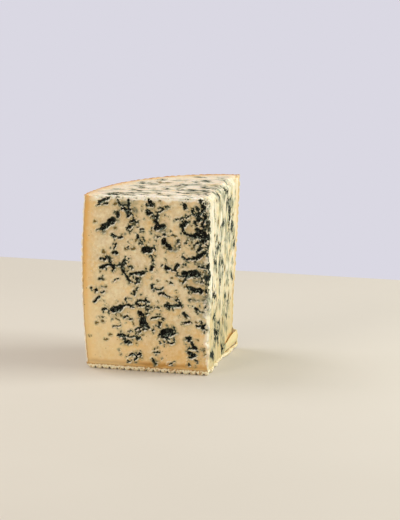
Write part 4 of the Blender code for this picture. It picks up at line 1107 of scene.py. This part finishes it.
def side_in(back, up):
    """How far the side cut, with the outside of its heel, lies in from the upright plane through the axis."""
    share = np.clip((back - HEEL_START) / (HEEL_FULL - HEEL_START), 0.0, 1.0)
    rise = up / (HEEL_HEIGHT * (0.45 + 0.55 * share))
    face = side_lean(back, np.full(len(back), HEEL_HEIGHT))
    belly = face - (face + HEEL_PROUD) * share**1.2
    foot = face * (1 - share) + 1.6 * share
    outside = belly + share * np.interp(rise, (0.0, 0.3, 0.5, 0.76, 1.0), (0.0, 0.3, 0.0, 0.2, 0.7))
    outside += (foot - belly) * smooth_step(rise, 0.3, 0.0)
    return outside + (side_lean(back, up) - outside) * smooth_step(rise, 0.98, 1.08)


across = across + side_in(back, up) * (1 - across / RIM_RADIUS)

# The section stands a little proud of the cuts, most at the studs and nubs, with its outer edge worn round.
proud = np.interp(skin_share, (0.0, 0.30, 0.72, 1.0), (-0.45, 0.35, 0.20, 0.0))
section_at = np.stack([across, back, up], axis=1)
proud = proud * (0.9 + 0.8 * ripple(section_at, 2.6, 31.0)) + 0.35 * ripple(section_at, 1.5, 32.0)
stud_here = np.where(high < BASE_SKIN + 1e-6, 1 - groove, nub)
proud = proud + 0.45 * (stud_here - 0.4) * (skin_share < 0.9) * (skin_share > 0.1)
torn_foot = 2.3 * ripple(section_at, 10.0, 36.0) + 1.6 * ripple(section_at, 4.5, 37.0) + 0.4
proud += torn_foot * on_side * ~on_front * smooth_step(up, 6.0, 2.5) * smooth_step(back, 2.0, 6.0)
proud = np.where(on_section, proud, 0.0)
back = back - proud * on_front
across = across - proud * on_side
up = up + np.where(on_top, 0.6 * proud, 0.0)

rind_place = np.stack([-across, back, up], axis=1)
set_coordinates(rind_mesh, rind_place * MM + np.array(drum_axis))
store(rind_mesh, "section", np.where(on_section, np.clip(skin_share * 1.2, 0.0, 1.0) * 0.8 + 0.2, 0.0))
store(rind_mesh, "nub", nub * (0.4 + 0.6 * weather))
store(rind_mesh, "groove", np.where(high < BASE_SKIN + 1e-6, groove, 0.0))
store(rind_mesh, "on_base", smooth_step(up, 5.5, 3.5))
store(rind_mesh, "on_side_cut", np.where(on_side & ~on_front, 1.0, 0.0))
store(rind_mesh, "on_top_cut", np.where(on_top, 1.0, 0.0))
rind_mesh.shade_smooth()
rind = bpy.data.objects.new("cheese_rind", rind_mesh)
bpy.context.scene.collection.objects.link(rind)

# Natural rind: dry, matt and mealy. Nubs are rubbed pale, the hollows between them hold brown and grey
# growth, and there are scattered dark mould spots and rusty patches.
rind_finish, tree, shader, place = new_material("natural_cheese_rind")
kept = {
    name: add_node(tree, "Attribute", attribute_name=name, out="Fac")
    for name in ("section", "nub", "groove", "on_base", "on_side_cut", "on_top_cut")
}
broad = add_node(tree, "TexNoise", place, grain(24.0), 3.0)
medium = add_node(tree, "TexNoise", place, grain(5.5), 5.0)
fine = add_node(tree, "TexNoise", place, grain(1.6), 4.0)
meal = add_node(tree, "TexNoise", place, grain(0.6), 2.0)
rusty = add_node(tree, "TexNoise", place, grain(13.0), 4.0)
height = add_node(tree, "SeparateXYZ", place, out="Z")

broad_share = add_node(tree, "MapRange", broad, 0.38, 0.62, **SMOOTH)
crust = add_node(tree, "Mix", broad_share, linear("#d9c5a0"), linear("#c9ae86"), **COLOURS)
for cloud, low, high, strength, colour in (
    (medium, 0.50, 0.68, 0.75, "#a98a66"), (fine, 0.54, 0.72, 0.55, "#8f7a63"), (rusty, 0.58, 0.70, 0.55, "#b97a45"),
):
    share = add_node(tree, "MapRange", cloud, low, high, **SMOOTH)
    share = add_node(tree, "Math", share, strength, **TIMES)
    crust = add_node(tree, "Mix", share, crust, linear(colour), **COLOURS)
rubbed = add_node(tree, "MapRange", meal, 0.30, 0.60, **SMOOTH)
rubbed = add_node(tree, "Math", add_node(tree, "Math", rubbed, kept["nub"], **TIMES), 0.65, **TIMES)
crust = add_node(tree, "Mix", rubbed, crust, linear("#ece2cc"), **COLOURS)
spots = add_node(tree, "TexVoronoi", place, grain(4.2))
uneven = add_node(tree, "Math", add_node(tree, "Math", fine, 0.5, **MINUS), 0.5, **TIMES)
spots = add_node(tree, "MapRange", add_node(tree, "Math", spots, uneven, **PLUS), 0.26, 0.16, **SMOOTH)
spotty = add_node(tree, "MapRange", add_node(tree, "TexNoise", place, grain(15.0), 2.0), 0.48, 0.60, **SMOOTH)
spotty = add_node(tree, "Math", add_node(tree, "Math", spots, spotty, **TIMES), 0.8, **TIMES)
crust = add_node(tree, "Mix", spotty, crust, linear("#4a4238"), **COLOURS)
fine_share = add_node(tree, "MapRange", fine, 0.4, 0.7, **SMOOTH)
base_tint = add_node(tree, "Mix", fine_share, linear("#dccba6"), linear("#cbb084"), **COLOURS)
crust = add_node(tree, "Mix", kept["on_base"], crust, base_tint, **COLOURS)
grooved = add_node(tree, "Math", kept["groove"], 0.75, **TIMES)
crust = add_node(tree, "Mix", grooved, crust, linear("#6b4c2e"), **COLOURS)

# Where the cuts go through it: chalky outside and toffee-coloured against the paste; on the front cut the chalky part
# is so pale that it is partly a painted highlight of the lit nubs along the outline. At the base, a row of cream chips
# under a tan band.
through = add_node(tree, "MapRange", kept["section"], 0.80, 1.0, **SMOOTH)
# Front cut's section: near-white outside, partly painted highlight, then toffee against the paste.
front_section_with_highlight = add_node(tree, "Mix", through, linear("#faf1de"), linear("#edbd70"), **COLOURS)
side_section = add_node(tree, "Mix", through, linear("#e6dbb0"), linear("#dbc084"), **COLOURS)
cut_tint = add_node(tree, "Mix", kept["on_side_cut"], front_section_with_highlight, side_section, **COLOURS)
top_section = add_node(tree, "Mix", add_node(tree, "MapRange", medium, 0.4, 0.6, **SMOOTH),
                       linear("#c47f40"), linear("#dba868"), **COLOURS)
cut_tint = add_node(tree, "Mix", kept["on_top_cut"], cut_tint, top_section, **COLOURS)
chalky = add_node(tree, "MapRange", fine, 0.52, 0.68, **SMOOTH)
chip_tint = add_node(tree, "Mix", chalky, linear("#f8edcb"), linear("#b98f55"), **COLOURS)
band_tint = add_node(tree, "Mix", chalky, linear("#cf9c52"), linear("#b47c36"), **COLOURS)
band_tint = add_node(tree, "Mix", kept["on_side_cut"], band_tint, linear("#e6cf94"), **COLOURS)
wander = add_node(tree, "Math", add_node(tree, "Math", fine, 0.5, **MINUS), 3.0 * MM, **TIMES)
above_chips = add_node(tree, "MapRange", add_node(tree, "Math", height, wander, **PLUS), 2.7 * MM, 3.7 * MM, **SMOOTH)
base_section = add_node(tree, "Mix", above_chips, chip_tint, band_tint, **COLOURS)
cut_tint = add_node(tree, "Mix", kept["on_base"], cut_tint, base_section, **COLOURS)
cut_share = add_node(tree, "MapRange", kept["section"], 0.05, 0.20, **SMOOTH)
crust = add_node(tree, "Mix", cut_share, crust, cut_tint, **COLOURS)
tree.links.new(crust, shader.inputs["Base Color"])
shader.inputs["Roughness"].default_value = 0.82
shader.inputs["Subsurface Weight"].default_value = 0.10
shader.inputs["Subsurface Radius"].default_value = (1.0, 0.6, 0.3)
shader.inputs["Subsurface Scale"].default_value = 1.0 * MM
mealy = add_node(tree, "Math", add_node(tree, "Math", meal, 0.6, **TIMES), fine, **PLUS)
relief_node = add_node(tree, "Bump", 0.7, 0.6 * MM)
tree.links.new(mealy, relief_node.node.inputs["Height"])
tree.links.new(relief_node, shader.inputs["Normal"])
rind_mesh.materials.append(rind_finish)
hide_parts("cheese_wedge")
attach(rind, "root")
